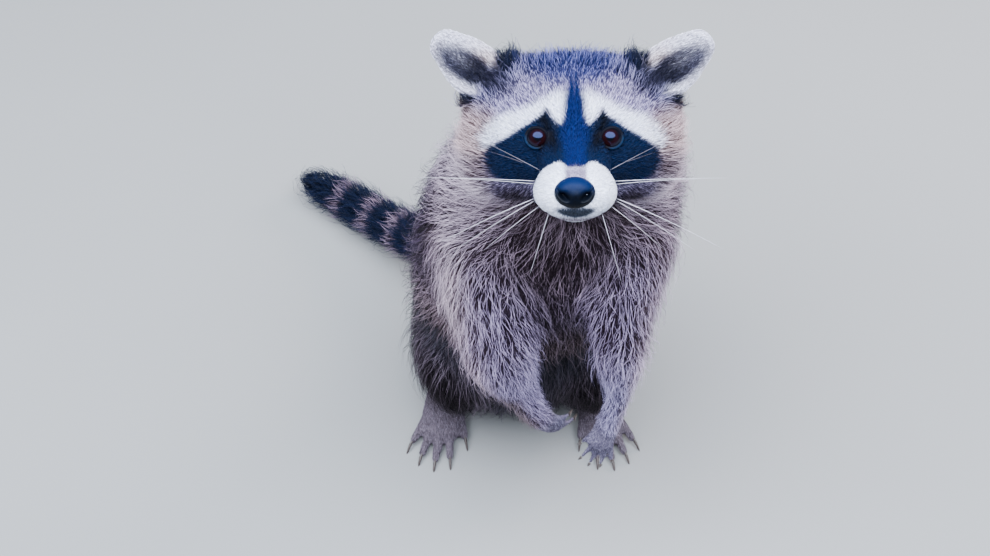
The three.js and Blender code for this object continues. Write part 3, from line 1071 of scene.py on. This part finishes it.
# %% [markdown]
# ## The lie of the coat
# Fur runs away from the nose over the head, out and down from the throat over
# the chest, down the back, along each limb to the toes and along the tail. The
# direction is stated roughly for each kind, averaged along the net so that one
# runs into the next, and kept flat on the skin.

# %% Directions of the coat
WHORL = np.array((39, -98, 296.0))


def limb_way(points, *nodes):
    """Along a limb from the middle of one solid to the next."""
    parts = legs([middle_of(node) for node in nodes])
    ways = np.array([unit(end - start) for start, end in parts])
    gaps = [lengths_of(points - (start + end) / 2) for start, end in parts]
    return ways[np.argmin(gaps, axis=0)]


def arm_way(points):
    ways, gaps = [], []
    for side in ("_right", "_left"):
        ways.append(limb_way(points, "upper_arm" + side, "forearm" + side, "hand" + side))
        gaps.append(lengths_of(points - middle_of("forearm" + side)))
    return np.where((gaps[0] < gaps[1])[:, None], *ways)


def ear_way(points):
    head_points = in_head(points)
    right, left = (HEAD_AXES @ ear_axes(side)[:, 2] for side in (-1, 1))
    return np.where(head_points[:, :1] < 0, right, left)


def tail_way(points):
    parts = np.diff(np.array(TAIL_LINE, float), axis=0)
    place = beside_line(points, TAIL_LINE)[1]
    part = np.minimum(np.searchsorted(np.cumsum(lengths_of(parts)), place), len(parts) - 1)
    return unit(parts)[part]


def flat_on(normals, ways):
    return unit(ways - (ways * normals).sum(axis=1)[:, None] * normals)


def lie_of_coat(points, normals, mix):
    down = np.array((0, 0, -1.0))
    from_nose = unit(points - from_head(NOSE_IN_HEAD - (0, 4, 0)))
    from_throat = unit(points - WHORL)
    chest = soft_step(0.0, -0.6, normals[:, 1]) * soft_step(110, 220, points[:, 2])
    body = down + 0.25 * np.array((0, 1, 0)) + (1.9 * chest)[:, None] * from_throat
    ways = {kind: from_nose for kind in HEAD_KINDS}
    ways["ear"] = ear_way(points)
    ways["neck"] = ways["trunk"] = unit(body)
    ways["tail"] = tail_way(points)
    ways["upper_arm"] = ways["forearm"] = ways["hand"] = arm_way(points)
    ways["thigh"] = ways["shank"] = unit(np.array((0, -0.45, -0.9)))[None, :] + 0 * points
    ways["foot"] = np.array((0, -1, -0.15)) + 0 * points
    return flat_on(normals, sum(mix[kind][:, None] * ways[kind] for kind in mix))


lie = lie_of_coat(points, normals, mix)
for _ in range(8):
    lie = flat_on(normals, net.relax(lie, 2))
print("lie of the coat found")

# %% [markdown]
# ## Tufts as solid mesh
# Hair curves are the usual way to make fur, but they aren't a solid, so each
# tuft here is a closed spindle: a point at the root, one or more rings of three
# corners, and a point at the tip. Short tufts and wool have one ring and six
# triangles, guard hairs three rings and eighteen, so that they can curve.

# %% Spindles from arrays
PATCH = 0.0015
FLATNESS = 0.55
TUFT_ABOVE_FLOOR = 0.2


def spindle_faces(rings):
    """Triangles of one spindle: corner 0 is the root, the last is the tip."""
    faces = []
    for step in range(3):
        beside = (step + 1) % 3
        faces.append((0, 1 + beside, 1 + step))
        for ring in range(rings - 1):
            low, high = 1 + 3 * ring, 4 + 3 * ring
            faces.append((low + step, low + beside, high + step))
            faces.append((low + beside, high + beside, high + step))
        top = 1 + 3 * (rings - 1)
        faces.append((top + step, top + beside, 3 * rings + 1))
    return np.array(faces)


def spindles(line, widths, colours, normals, patches):
    """Many spindles at once: their points, faces, colours and places on the flat map.

    line is (tufts, steps, 3) from root to tip, and has a ring at each step between."""
    count, steps = line.shape[:2]
    rings = steps - 2
    ahead = unit(line[:, -1] - line[:, 0])
    across = unit(np.cross(ahead, normals))
    above = np.cross(across, ahead)
    twist = dice.uniform(-0.5, 0.5, count)
    still = np.zeros(count)
    corners, tones, places = [line[:, 0]], [colours[:, 0]], [np.column_stack((still, still - 1))]
    for ring in range(1, rings + 1):
        for step in range(3):
            angle = twist + math.pi / 2 + step * math.tau / 3
            offset = np.cos(angle)[:, None] * across + FLATNESS * np.sin(angle)[:, None] * above
            corners.append(line[:, ring] + offset * widths[:, ring, None])
            tones.append(colours[:, ring])
            places.append(np.column_stack((still + step - 1, still + 2 * ring / (rings + 1) - 1)))
    corners.append(line[:, -1])
    tones.append(colours[:, -1])
    places.append(np.column_stack((still, still + 1)))
    size = 3 * rings + 2
    points = np.stack(corners, axis=1).reshape(-1, 3)
    points[:, 2] = np.maximum(points[:, 2], TUFT_ABOVE_FLOOR)
    faces = (spindle_faces(rings)[None] + (np.arange(count) * size)[:, None, None]).reshape(-1, 3)
    spread = np.stack(places, axis=1) * PATCH + patches[:, None]
    return points, faces, np.stack(tones, axis=1).reshape(-1, 3), spread.reshape(-1, 2)


print("triangles of a short tuft and a guard hair:", len(spindle_faces(1)), len(spindle_faces(3)))

# %% [markdown]
# All tufts of a piece become one mesh, and each tuft gets a small patch on a flat
# map. The map is the skin of that piece unwrapped, and a tuft's patch lies where
# its root stands.

# %% One mesh from many tufts
def joined(name, sets):
    """One mesh from several sets of spindles."""
    starts = np.cumsum([0] + [len(points) for points, *_ in sets])
    faces = np.concatenate([faces + start for (_, faces, *_), start in zip(sets, starts)])
    mesh = mesh_of(name, np.concatenate([points for points, *_ in sets]), faces)
    give_colours(mesh, np.concatenate([colours for _, _, colours, _ in sets]))
    flat = np.concatenate([spread for *_, spread in sets])
    layer = mesh.uv_layers.new(name="OFBake")
    layer.data.foreach_set("uv", flat[faces.ravel()].ravel())
    return mesh


def unwrapped(chosen):
    """A flat map of some triangles of the skin: three corners of each, from 0 to 1."""
    used, faces = np.unique(triangles[chosen], return_inverse=True)
    scrap = object_from(mesh_of("scrap", points[used], faces.reshape(-1, 3)), "scrap")
    bpy.context.view_layer.objects.active = scrap
    scrap.select_set(True)
    bpy.ops.object.mode_set(mode="EDIT")
    bpy.ops.mesh.select_all(action="SELECT")
    bpy.ops.uv.smart_project(angle_limit=math.radians(66), island_margin=0.004)
    bpy.ops.object.mode_set(mode="OBJECT")
    flat = np.empty(len(faces.ravel()) * 2, np.float32)
    scrap.data.uv_layers.active.data.foreach_get("uv", flat)
    bpy.data.objects.remove(scrap)
    return flat.reshape(-1, 3, 2)


print("half the side of a tuft's patch:", PATCH)

# %% [markdown]
# ## Roots, and how a tuft leaves the skin
# Roots are scattered evenly by area, closer on the face and paws. From its root
# a tuft climbs to the outline of the coat while it follows the lie, so its way
# is walked over the skin: at each step the nearest point of the skin is asked
# for, and the tuft stands its height above that. A long coat has three layers:
# dense wool below, thinner guard hairs through it, and a few long strays.

# %% Layers of the coat
class Layer:
    """How one layer of tufts differs from the table of the coat."""

    # how far along the tuft each ring is, how high it stands, how thick it is
    REACH = {1: (0.5, 1.0), 3: (0.25, 0.52, 0.78, 1.0)}
    RISE = {1: (0.62, 1.0), 3: (0.66, 0.94, 1.03, 1.06)}
    TAPER = {1: (0, 0.5, 0), 3: (0, 0.5, 0.46, 0.34, 0)}

    def __init__(self, rings, gap=1.0, length=1.0, width=1.0, height=1.0, sway=0.14, pale=1.0, from_root=0.5):
        self.rings, self.gap, self.length, self.width = rings, gap, length, width
        self.height, self.sway, self.pale, self.from_root = height, sway, pale, from_root
        self.reach, self.rise, self.taper = self.REACH[rings], self.RISE[rings], self.TAPER[rings]


VELVET = [Layer(rings=1)]
WOOL_AND_GUARD = [
    Layer(rings=1, gap=1.14, length=0.85, width=1.1, height=0.82, sway=0.16, pale=0.35),
    Layer(rings=3, gap=1.62, length=1.05, width=0.46, height=1.08, sway=0.16, pale=1.5, from_root=0.22),
    Layer(rings=3, gap=3.6, length=1.2, width=0.36, height=1.65, sway=0.32, pale=1.8, from_root=0.2),
]
print("layers of the long coat:", len(WOOL_AND_GUARD))

# %% [markdown]
# A root is a random spot in a triangle. How many a triangle gets follows from
# its area, and what remains of a whole number is drawn by lot, so that small
# triangles are not left bald.

# %% Roots on the skin
skin_tree = BVHTree.FromPolygons(points.tolist(), triangles.tolist())


def scattered(chosen, spacing):
    """Roots on some triangles: which of them, and where in it."""
    corners = points[triangles[chosen]]
    area = lengths_of(np.cross(corners[:, 1] - corners[:, 0], corners[:, 2] - corners[:, 0])) / 2
    gap = measure(mix, 3)[triangles[chosen]].mean(axis=1) * spacing
    gap = gap * (1 + 0.14 * soft_step(-0.2, 0.7, normals[triangles[chosen], 1].mean(axis=1)))
    bald = bare[triangles[chosen]].mean(axis=1) > 0.5
    wanted = np.where(bald, 0, area / gap**2)
    count = np.floor(wanted + dice.random(len(wanted))).astype(int)
    owner = np.repeat(np.arange(len(chosen)), count)
    first, second = dice.random((2, len(owner)))
    over = first + second > 1
    first, second = np.where(over, 1 - first, first), np.where(over, 1 - second, second)
    return owner, np.column_stack((1 - first - second, first, second))


def at_roots(values, owners, weights):
    """A value of the skin's points at the roots."""
    return np.einsum("ij,ij...->i...", weights, values[triangles[owners]])


def dropped(places):
    """The nearest points of the skin, and which way it faces there."""
    found = [skin_tree.find_nearest(place) for place in places.tolist()]
    spots = np.array([spot[:] for spot, _, _, _ in found])
    corners = triangles[[face for _, _, face, _ in found]]
    return spots, unit(normals[corners].mean(axis=1))


print("area of the skin:", round(sum(face.area for face in skin_mesh.polygons), 3), "square metres")

# %% [markdown]
# No two hairs lie quite alike. Neighbours swing together, each tuft also turns,
# bends and rises by a little chance of its own, and tips draw together in locks.

# %% From root to tip
LEADERS = 0.1


def swing_at(places):
    """A slow sideways swing of the coat, so that neighbours swing together."""
    x, y, z = places.T
    return 0.09 * np.sin(x / 9 + 1.3 * np.sin(z / 13)) + 0.08 * np.sin(z / 6 + y / 10)


def tangle_at(roots, up, kinds):
    """How crossed the hairs lie: combed at 1, and about twice that on the chest."""
    chest = kinds["trunk"] + kinds["neck"]
    chest = chest * soft_step(0.0, -0.5, up[:, 1]) * soft_step(150, 200, roots[:, 2])
    return 1 + 1.2 * chest + 0.7 * kinds["cheek"] * soft_step(60, 30, np.abs(in_head(roots)[:, 0]))


def tuft_lines(layer, roots, up, way, kinds):
    """The middle line of each tuft, from its root to its tip."""
    count = len(roots)
    tangle = tangle_at(roots, up, kinds)
    head_roots = in_head(roots)
    upright = 6 * ear_tufts(head_roots) * (kinds["crown"] + kinds["cheek"])
    upright += 2.5 * bump_at(head_roots[:, 0], 26) * kinds["crown"]
    depth = (measure(kinds, 0) + upright) * dice.uniform(0.72, 1.12, count) * layer.height
    length = measure(kinds, 1) * dice.uniform(0.62, 1.15, count) * layer.length * (0.85 + 0.15 * tangle)
    sway = dice.normal(0, layer.sway, count) * tangle + swing_at(roots)
    bend = dice.normal(0, layer.sway * 1.5 / layer.rings, count) * tangle
    way = unit(way + np.cross(up, way) * sway[:, None])
    line = [roots - 0.3 * up]
    spot, facing, walked_share = roots, up, 0.0
    for share, rise in zip(layer.reach, layer.rise):
        ahead = flat_on(facing, way) * (length * (share - walked_share))[:, None]
        spot, facing = dropped(spot + ahead)
        line.append(spot + facing * (depth * rise)[:, None])
        way = unit(way + np.cross(facing, way) * bend[:, None])
        walked_share = share
    return np.stack(line, axis=1)


def drawn_together(line, roots, pull):
    """Tips are drawn towards those of a few leading tufts, which makes locks."""
    leaders = np.flatnonzero(dice.random(len(roots)) < LEADERS)
    if len(leaders) < 2:
        return line
    tree = KDTree(len(leaders))
    for place, leader in enumerate(leaders):
        tree.insert(roots[leader], place)
    tree.balance()
    chosen = leaders[[tree.find(root)[1] for root in roots.tolist()]]
    last = line.shape[1] - 1
    for step in range(1, last + 1):
        share = (pull * (step / last) ** 1.5)[:, None]
        target = line[chosen, step] + 0.3 * (roots - roots[chosen])
        line[:, step] += share * (target - line[:, step])
    return line


print("one tuft in", round(1 / LEADERS), "leads a lock")

# %% [markdown]
# A hair of a raccoon's coat is banded: dark wool at the root, then brown, then
# a pale or a black tip. Every tuft draws a lot for a pale tip by the share at
# its place. Markings are read where the middle of the tuft lies and not at its
# root, because that is where they are seen, with a little jitter as a fringe.

# %% Colours of the tufts
FRINGE = 0.4
BRIGHTEST = 0.93


def tuft_colours(layer, line, up, kinds):
    steps = line.shape[1]
    seen = dropped(line[:, steps // 2])[0] + dice.normal(0, FRINGE, line[:, 0].shape)
    coat = coat_at(seen, up, kinds)
    pale = (dice.random(len(line)) < coat.pale * layer.pale)[:, None]
    tone = dice.uniform(0.7, 1.2, len(line))[:, None]
    outer = np.where(pale, coat.tips, coat.under * 1.25)
    made = []
    for step in range(steps):
        share = soft_step(0.0, layer.from_root + 0.15, step / (steps - 1))
        base = coat.under * 0.7 + share * (outer - coat.under * 0.7)
        made.append(base * tone)
    return np.clip(np.stack(made, axis=1), 0, BRIGHTEST)


def coat_finish():
    made, tree, shader = material("fur", roughness=0.55, specular=0.1)
    colour = attribute(tree, "coat")
    strand = noise(tree, 1400, detail=1)
    colour = tint(tree, colour, 0.8 + strand * 0.4)
    feed(tree, shader, Base_Color=colour, Roughness=0.45 + strand * 0.2)
    return made


fur = coat_finish()
print("finish of the coat:", fur.name)

# %% [markdown]
# The coat is built in pieces, each from one region of the skin, so that no mesh
# grows too heavy. A triangle belongs to the kind that has the most of it, and
# the larger regions are split into left and right, front and back.

# %% Pieces of the coat
CHEST_HEIGHT = 185
SEAT_HEIGHT = 4
SHORT = ("coat_face", "coat_ears", "coat_paws")


def layer_set(layer, chosen, flat_map):
    owner, weights = scattered(chosen, layer.gap)
    owners = chosen[owner]
    roots = at_roots(points, owners, weights)
    up = unit(at_roots(normals, owners, weights))
    kinds = {kind: at_roots(share, owners, weights) for kind, share in mix.items()}
    line = tuft_lines(layer, roots, up, at_roots(lie, owners, weights), kinds)
    line = drawn_together(line, roots, measure(kinds, 4))
    colours = tuft_colours(layer, line, up, kinds)
    widths = np.outer(measure(kinds, 2) * layer.width * dice.uniform(0.7, 1.25, len(roots)), layer.taper)
    patches = np.einsum("ij,ijk->ik", weights, flat_map[owner]).clip(PATCH, 1 - PATCH)
    return spindles(line, widths, colours, up, patches)


def coat_piece(name, chosen, layers):
    flat_map = unwrapped(chosen)
    mesh = joined(name, [layer_set(layer, chosen, flat_map) for layer in layers])
    mesh.materials.append(fur)
    piece = object_from(mesh, name)
    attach(piece, "root")
    print(name, len(mesh.polygons), "triangles")
    return len(mesh.polygons)


def coat_regions():
    """The triangles of the skin that each piece of the coat grows from."""
    names = list(mix)
    strongest = np.argmax(np.array([mix[kind][triangles].mean(axis=1) for kind in names]), axis=0)
    middle = points[triangles].mean(axis=1)
    facing = normals[triangles].mean(axis=1)

    def of(*kinds):
        return np.isin(strongest, [names.index(kind) for kind in kinds])

    right = middle[:, 0] < HEAD_PLACE[0]
    front = facing[:, 1] < -0.15
    high = middle[:, 2] > CHEST_HEIGHT
    body = of("trunk") & (middle[:, 2] >= SEAT_HEIGHT)
    arm, haunch = of("upper_arm", "forearm"), of("thigh", "shank")
    return {
        "coat_face": of("muzzle", "face"),
        "coat_crown": of("crown"),
        "coat_cheek_right": of("cheek") & right,
        "coat_cheek_left": of("cheek") & ~right,
        "coat_ears": of("ear"),
        "coat_neck_front": of("neck") & front,
        "coat_neck_back": of("neck") & ~front,
        "coat_chest": body & front & high,
        "coat_belly": body & front & ~high,
        "coat_back_right": body & ~front & right,
        "coat_back_left": body & ~front & ~right,
        "coat_arm_right": arm & right,
        "coat_arm_left": arm & ~right,
        "coat_haunch_right": haunch & right,
        "coat_haunch_left": haunch & ~right,
        "coat_tail": of("tail"),
        "coat_paws": of("hand", "foot"),
    }


total = 0
for name, where in coat_regions().items():
    layers = VELVET if name in SHORT else WOOL_AND_GUARD
    total += coat_piece(name, np.flatnonzero(where), layers)
print("coat:", total, "triangles")

# %% [markdown]
# ## Whiskers
# Whiskers are stiff and far thicker than fur. Each starts on the pad beside the
# nose, or on the cheek, and bows gently under its own weight. They are spindles
# too, with more rings, and the left side mirrors the right.

# %% Whiskers
WHISKER_WIDTH = 0.46
WHISKERS = [
    # root on the pad, first direction, length, droop, how pale
    ((18, -70, -15), (1.0, 0.14, 0.02), 80, 3, 1.0),
    ((18, -69, -17), (1.0, 0.26, 0.04), 62, 4, 0.9),
    ((18, -70, -21), (0.93, 0.05, -0.40), 74, 7, 1.0),
    ((18, -69, -22), (0.90, 0.02, -0.52), 58, 6, 0.9),
    ((17, -70, -24), (0.82, 0.05, -0.62), 46, 5, 0.7),
    ((15, -72, -27), (0.30, -0.05, -1.0), 46, 2, 0.8),
    ((20, -60, -9), (0.86, 0.32, 0.40), 48, 2, 0.25),
    ((30, -44, -12), (0.86, 0.20, 0.30), 30, 2, 0.1),
    ((15, -44, 19), (0.45, -0.30, 0.85), 26, -2, 0.5),
]
WHISKER_RINGS = 9


def whiskers():
    line, facing, pale = [], [], []
    shares = np.linspace(0, 1, WHISKER_RINGS + 2)[:, None]
    for side in (-1, 1):
        for root, way, length, droop, paleness in WHISKERS:
            start = from_head(on_side(side, root))
            spot, out = dropped(start[None])
            ahead = unit(on_side(side, way)) @ HEAD_AXES.T
            length = length * dice.uniform(0.92, 1.08)
            bow = np.array((0, 0, -droop)) * shares**2
            line.append(spot[0] - 0.5 * out[0] + ahead * shares * length + bow)
            facing.append(out[0])
            pale.append(paleness)
    line, facing, pale = np.array(line), np.array(facing), np.array(pale)
    widths = WHISKER_WIDTH * (0.5 * (1 - shares[:, 0]) ** 0.7 + 0.06) * (0.7 + 0.3 * pale[:, None])
    white, horn = np.array((0.50, 0.48, 0.54)), np.array((0.07, 0.05, 0.055))
    tones = horn + pale[:, None] * (white - horn)
    colours = np.repeat(tones[:, None], shares.size, axis=1)
    patches = np.column_stack((np.linspace(0.1, 0.9, len(line)), np.full(len(line), 0.5)))
    return joined("whiskers", [spindles(line, widths, colours, facing, patches)])


whisker_mesh = whiskers()
whisker_mesh.materials.append(fur)
whisker_piece = object_from(whisker_mesh, "whiskers")
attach(whisker_piece, "root")
print("whiskers:", len(whisker_mesh.polygons), "triangles")

# %% [markdown]
# ## Eyes
# An eyeball is a ball with a clear dome, the cornea, over a coloured iris. The
# pieces turn their pole to what the animal looks at, and an attribute holds the
# angle from that pole, which one colour ramp turns into pupil, iris and rim.

# %% Eyeballs
CORNEA = 0.5
CORNEA_ANGLE = 0.85


def eye_finish():
    made, tree, shader = material("eye", roughness=0.14, specular=0.32)
    shader.inputs["Specular Tint"].default_value = (0.27, 0.38, 0.92, 1)
    angle = attribute(tree, "gaze_angle", "Fac")
    rays = noise(tree, 1500, detail=2) - 0.5
    ramp = build_node(
        tree, "ShaderNodeValToRGB",
        {"stops": [
            (0.0, (0.001, 0.001, 0.001)), (0.22, (0.001, 0.001, 0.001)), (0.36, (0.005, 0.001, 0.001)),
            (0.55, (0.006, 0.0014, 0.002)), (0.74, (0.003, 0.0008, 0.0012)), (0.86, (0.001, 0.001, 0.002)),
            (1.0, (0.002, 0.002, 0.004)),
        ]},
        Fac=angle + rays * 0.05,
    )
    feed(tree, shader, Base_Color=Value(tree, ramp.outputs[0]))
    return made


def eyeball(name, middle, finish):
    gaze = (Vector(CAMERA_PLACE) - middle).normalized()
    form = bmesh.new()
    bmesh.ops.create_uvsphere(form, u_segments=48, v_segments=32, radius=EYE_RADIUS * MM)
    angles = []
    for corner in form.verts:
        angle = corner.co.angle(Vector((0, 0, 1)))
        dome = max(0.0, 1 - (angle / CORNEA_ANGLE) ** 2)
        corner.co += corner.co.normalized() * (CORNEA * MM * dome)
        angles.append(angle)
    bmesh.ops.rotate(form, verts=form.verts, matrix=gaze.to_track_quat("Z", "Y").to_matrix())
    bmesh.ops.translate(form, verts=form.verts, vec=middle)
    mesh = mesh_from(form, name)
    give_values(mesh, np.array(angles), "gaze_angle")
    mesh.shade_smooth()
    mesh.materials.append(finish)
    return object_from(mesh, name)


eye_material = eye_finish()
for side_name in ("left", "right"):
    node = "eye_" + side_name
    ball = eyeball("eyeball_" + side_name, middle_of(node) * MM, eye_material)
    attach(ball, "root")
    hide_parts(node)
print("eyes made")

# %% [markdown]
# ## Nose
# The nose pad is bare leather. It starts as a ball in the shape of the solid,
# and its points are moved: a flattened front, two comma-shaped nostrils that
# run out to a slit at the side, and a groove down the middle.
# Its leather is near black, with a painted reflection of the sky in blue towards its top.

# %% Nose pad
NOSTRIL = (6.9, -0.6)
NOSTRIL_SLIT = [(5.0, -2.4), (7.2, -0.9), (9.2, 0.4), (10.6, 2.6)]
WING = [(5.0, -5.0), (8.2, -4.0), (10.6, -1.4), (11.6, 2.0)]


def nose_finish():
    made, tree, shader = material("nose_leather", roughness=0.42, specular=0.07)
    pebbles = build_node(tree, "ShaderNodeTexVoronoi", Vector=place_on(tree), Scale=1500)
    cells = Value(tree, pebbles.outputs["Distance"])
    upper = attribute(tree, "upper", "Fac")
    blotch = noise(tree, 300) * 0.2 - 0.1
    # Painted reflection: the pad is near black, and it is painted blue towards its top as the sky mirrored
    # there.
    colour = blend_colours(tree, upper + blotch, (0.0003, 0.0009, 0.0026, 1), (0.0004, 0.0060, 0.032, 1))
    feed(tree, shader, Base_Color=colour, Roughness=0.32 + cells * 0.35)
    bumps(tree, shader, cells, strength=0.35, distance=0.25)
    return made


def nose_pad():
    form = bmesh.new()
    bmesh.ops.create_uvsphere(form, u_segments=96, v_segments=64, radius=1)
    places = np.array([corner.co[:] for corner in form.verts])
    shaped = places * NOSE_RADII
    ahead = soft_step(0.25, -0.4, places[:, 1])
    shaped[:, 1] += ahead * 1.2 * soft_step(1.0, 0.3, np.hypot(places[:, 0], places[:, 2]))
    face = np.column_stack((np.abs(shaped[:, 0]), shaped[:, 2]))
    hole = lengths_of(face - NOSTRIL)
    slit = line_distance(face, NOSTRIL_SLIT)
    wing = line_distance(face, WING)
    middle = bump_at(face[:, 0], 0.5) * soft_step(1.0, -3.0, face[:, 1])
    shaped[:, 1] += ahead * (3.6 * bump_at(hole, 2.3) + 2.2 * bump_at(slit, 1.2) + 0.7 * middle)
    shaped[:, 1] -= ahead * 0.7 * bump_at(wing, 1.3)
    # The share of the painted reflection, rising towards the top of the pad.
    upper = soft_step(-1.0, 7.5, shaped[:, 2])
    shaped = from_head(shaped + NOSE_IN_HEAD) * MM
    for corner, place in zip(form.verts, shaped):
        corner.co = place
    mesh = mesh_from(form, "nose_pad")
    give_values(mesh, upper, "upper")
    return mesh


nose_mesh = nose_pad()
nose_mesh.shade_smooth()
nose_mesh.materials.append(nose_finish())
nose = object_from(nose_mesh, "nose_pad")
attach(nose, "root")
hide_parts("nose")
print("nose:", len(nose_mesh.polygons), "faces")

# %% [markdown]
# ## Claws
# Each claw keeps the shape and place of its solid. A merged copy is rounded by
# subdivision, and its horn is dark with a paler grain.

# %% Claws
def claw_finish():
    made, tree, shader = material("claw_horn", roughness=0.35, specular=0.5)
    grain = noise(tree, 700, detail=4)
    colour = blend_colours(tree, grain, (0.018, 0.013, 0.013, 1), (0.085, 0.065, 0.058, 1))
    feed(tree, shader, Base_Color=colour)
    bumps(tree, shader, grain, strength=0.2, distance=0.2)
    return made


claw_material = claw_finish()
for node in claws:
    mesh = mesh_from(merged_copy([node]), node + "_horn")
    mesh.shade_smooth()
    mesh.materials.append(claw_material)
    claw = object_from(mesh, node + "_horn")
    rounding = claw.modifiers.new("rounding", "SUBSURF")
    rounding.levels = rounding.render_levels = 2
    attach(claw, "root")
    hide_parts(node)
print("claws:", len(claws))

# %% [markdown]
# ## Floor and light
# The mount stands on a plain pale floor. The light is that of an overcast sky
# with one large soft source in front and above, which also gives the eyes
# their highlight, and a warmer one from behind that edges the coat.

# %% Floor
def floor_finish():
    made, tree, shader = material("floor", roughness=0.85, specular=0.2)
    drift = noise(tree, 3, detail=2)
    colour = blend_colours(tree, drift, (0.185, 0.185, 0.183, 1), (0.205, 0.205, 0.202, 1))
    feed(tree, shader, Base_Color=colour)
    return made


form = bmesh.new()
bmesh.ops.create_grid(form, x_segments=1, y_segments=1, size=12)
floor = object_from(mesh_from(form, "floor"), "floor")
floor.data.materials.append(floor_finish())
print("floor made")

# %% [markdown]
# Three lamps and a sky do the rest. The lamps behind and beside the animal are
# kept out of mirrored light, so that only the large one shows in its eyes.

# %% Light
def soft_light(name, place, target, size, energy, colour, mirrored=True):
    lamp = bpy.data.lights.new(name, "AREA")
    lamp.shape = "ELLIPSE"
    lamp.size, lamp.size_y = size
    lamp.energy = energy
    lamp.color = colour
    made = object_from(lamp, name)
    made.location = place
    made.visible_glossy = mirrored
    made.rotation_euler = (Vector(target) - Vector(place)).to_track_quat("-Z", "Y").to_euler()


sky = bpy.data.worlds.new("sky")
sky.use_nodes = True
feed(sky.node_tree, sky.node_tree.nodes["Background"], Color=(0.55, 0.70, 1.0, 1), Strength=0.36)
bpy.context.scene.world = sky
AIM = (0.03, -0.05, 0.28)
soft_light("overhead", (0.0, -0.42, 1.85), AIM, (3.4, 1.9), 330, (0.80, 0.88, 1.0))
soft_light("edge", (0.95, 0.65, 0.75), AIM, (0.6, 0.6), 20, (1.0, 0.88, 0.86), mirrored=False)
soft_light("fill", (-1.2, -0.5, 0.8), AIM, (1.2, 1.2), 12, (0.88, 0.90, 1.0), mirrored=False)
print("lights made")
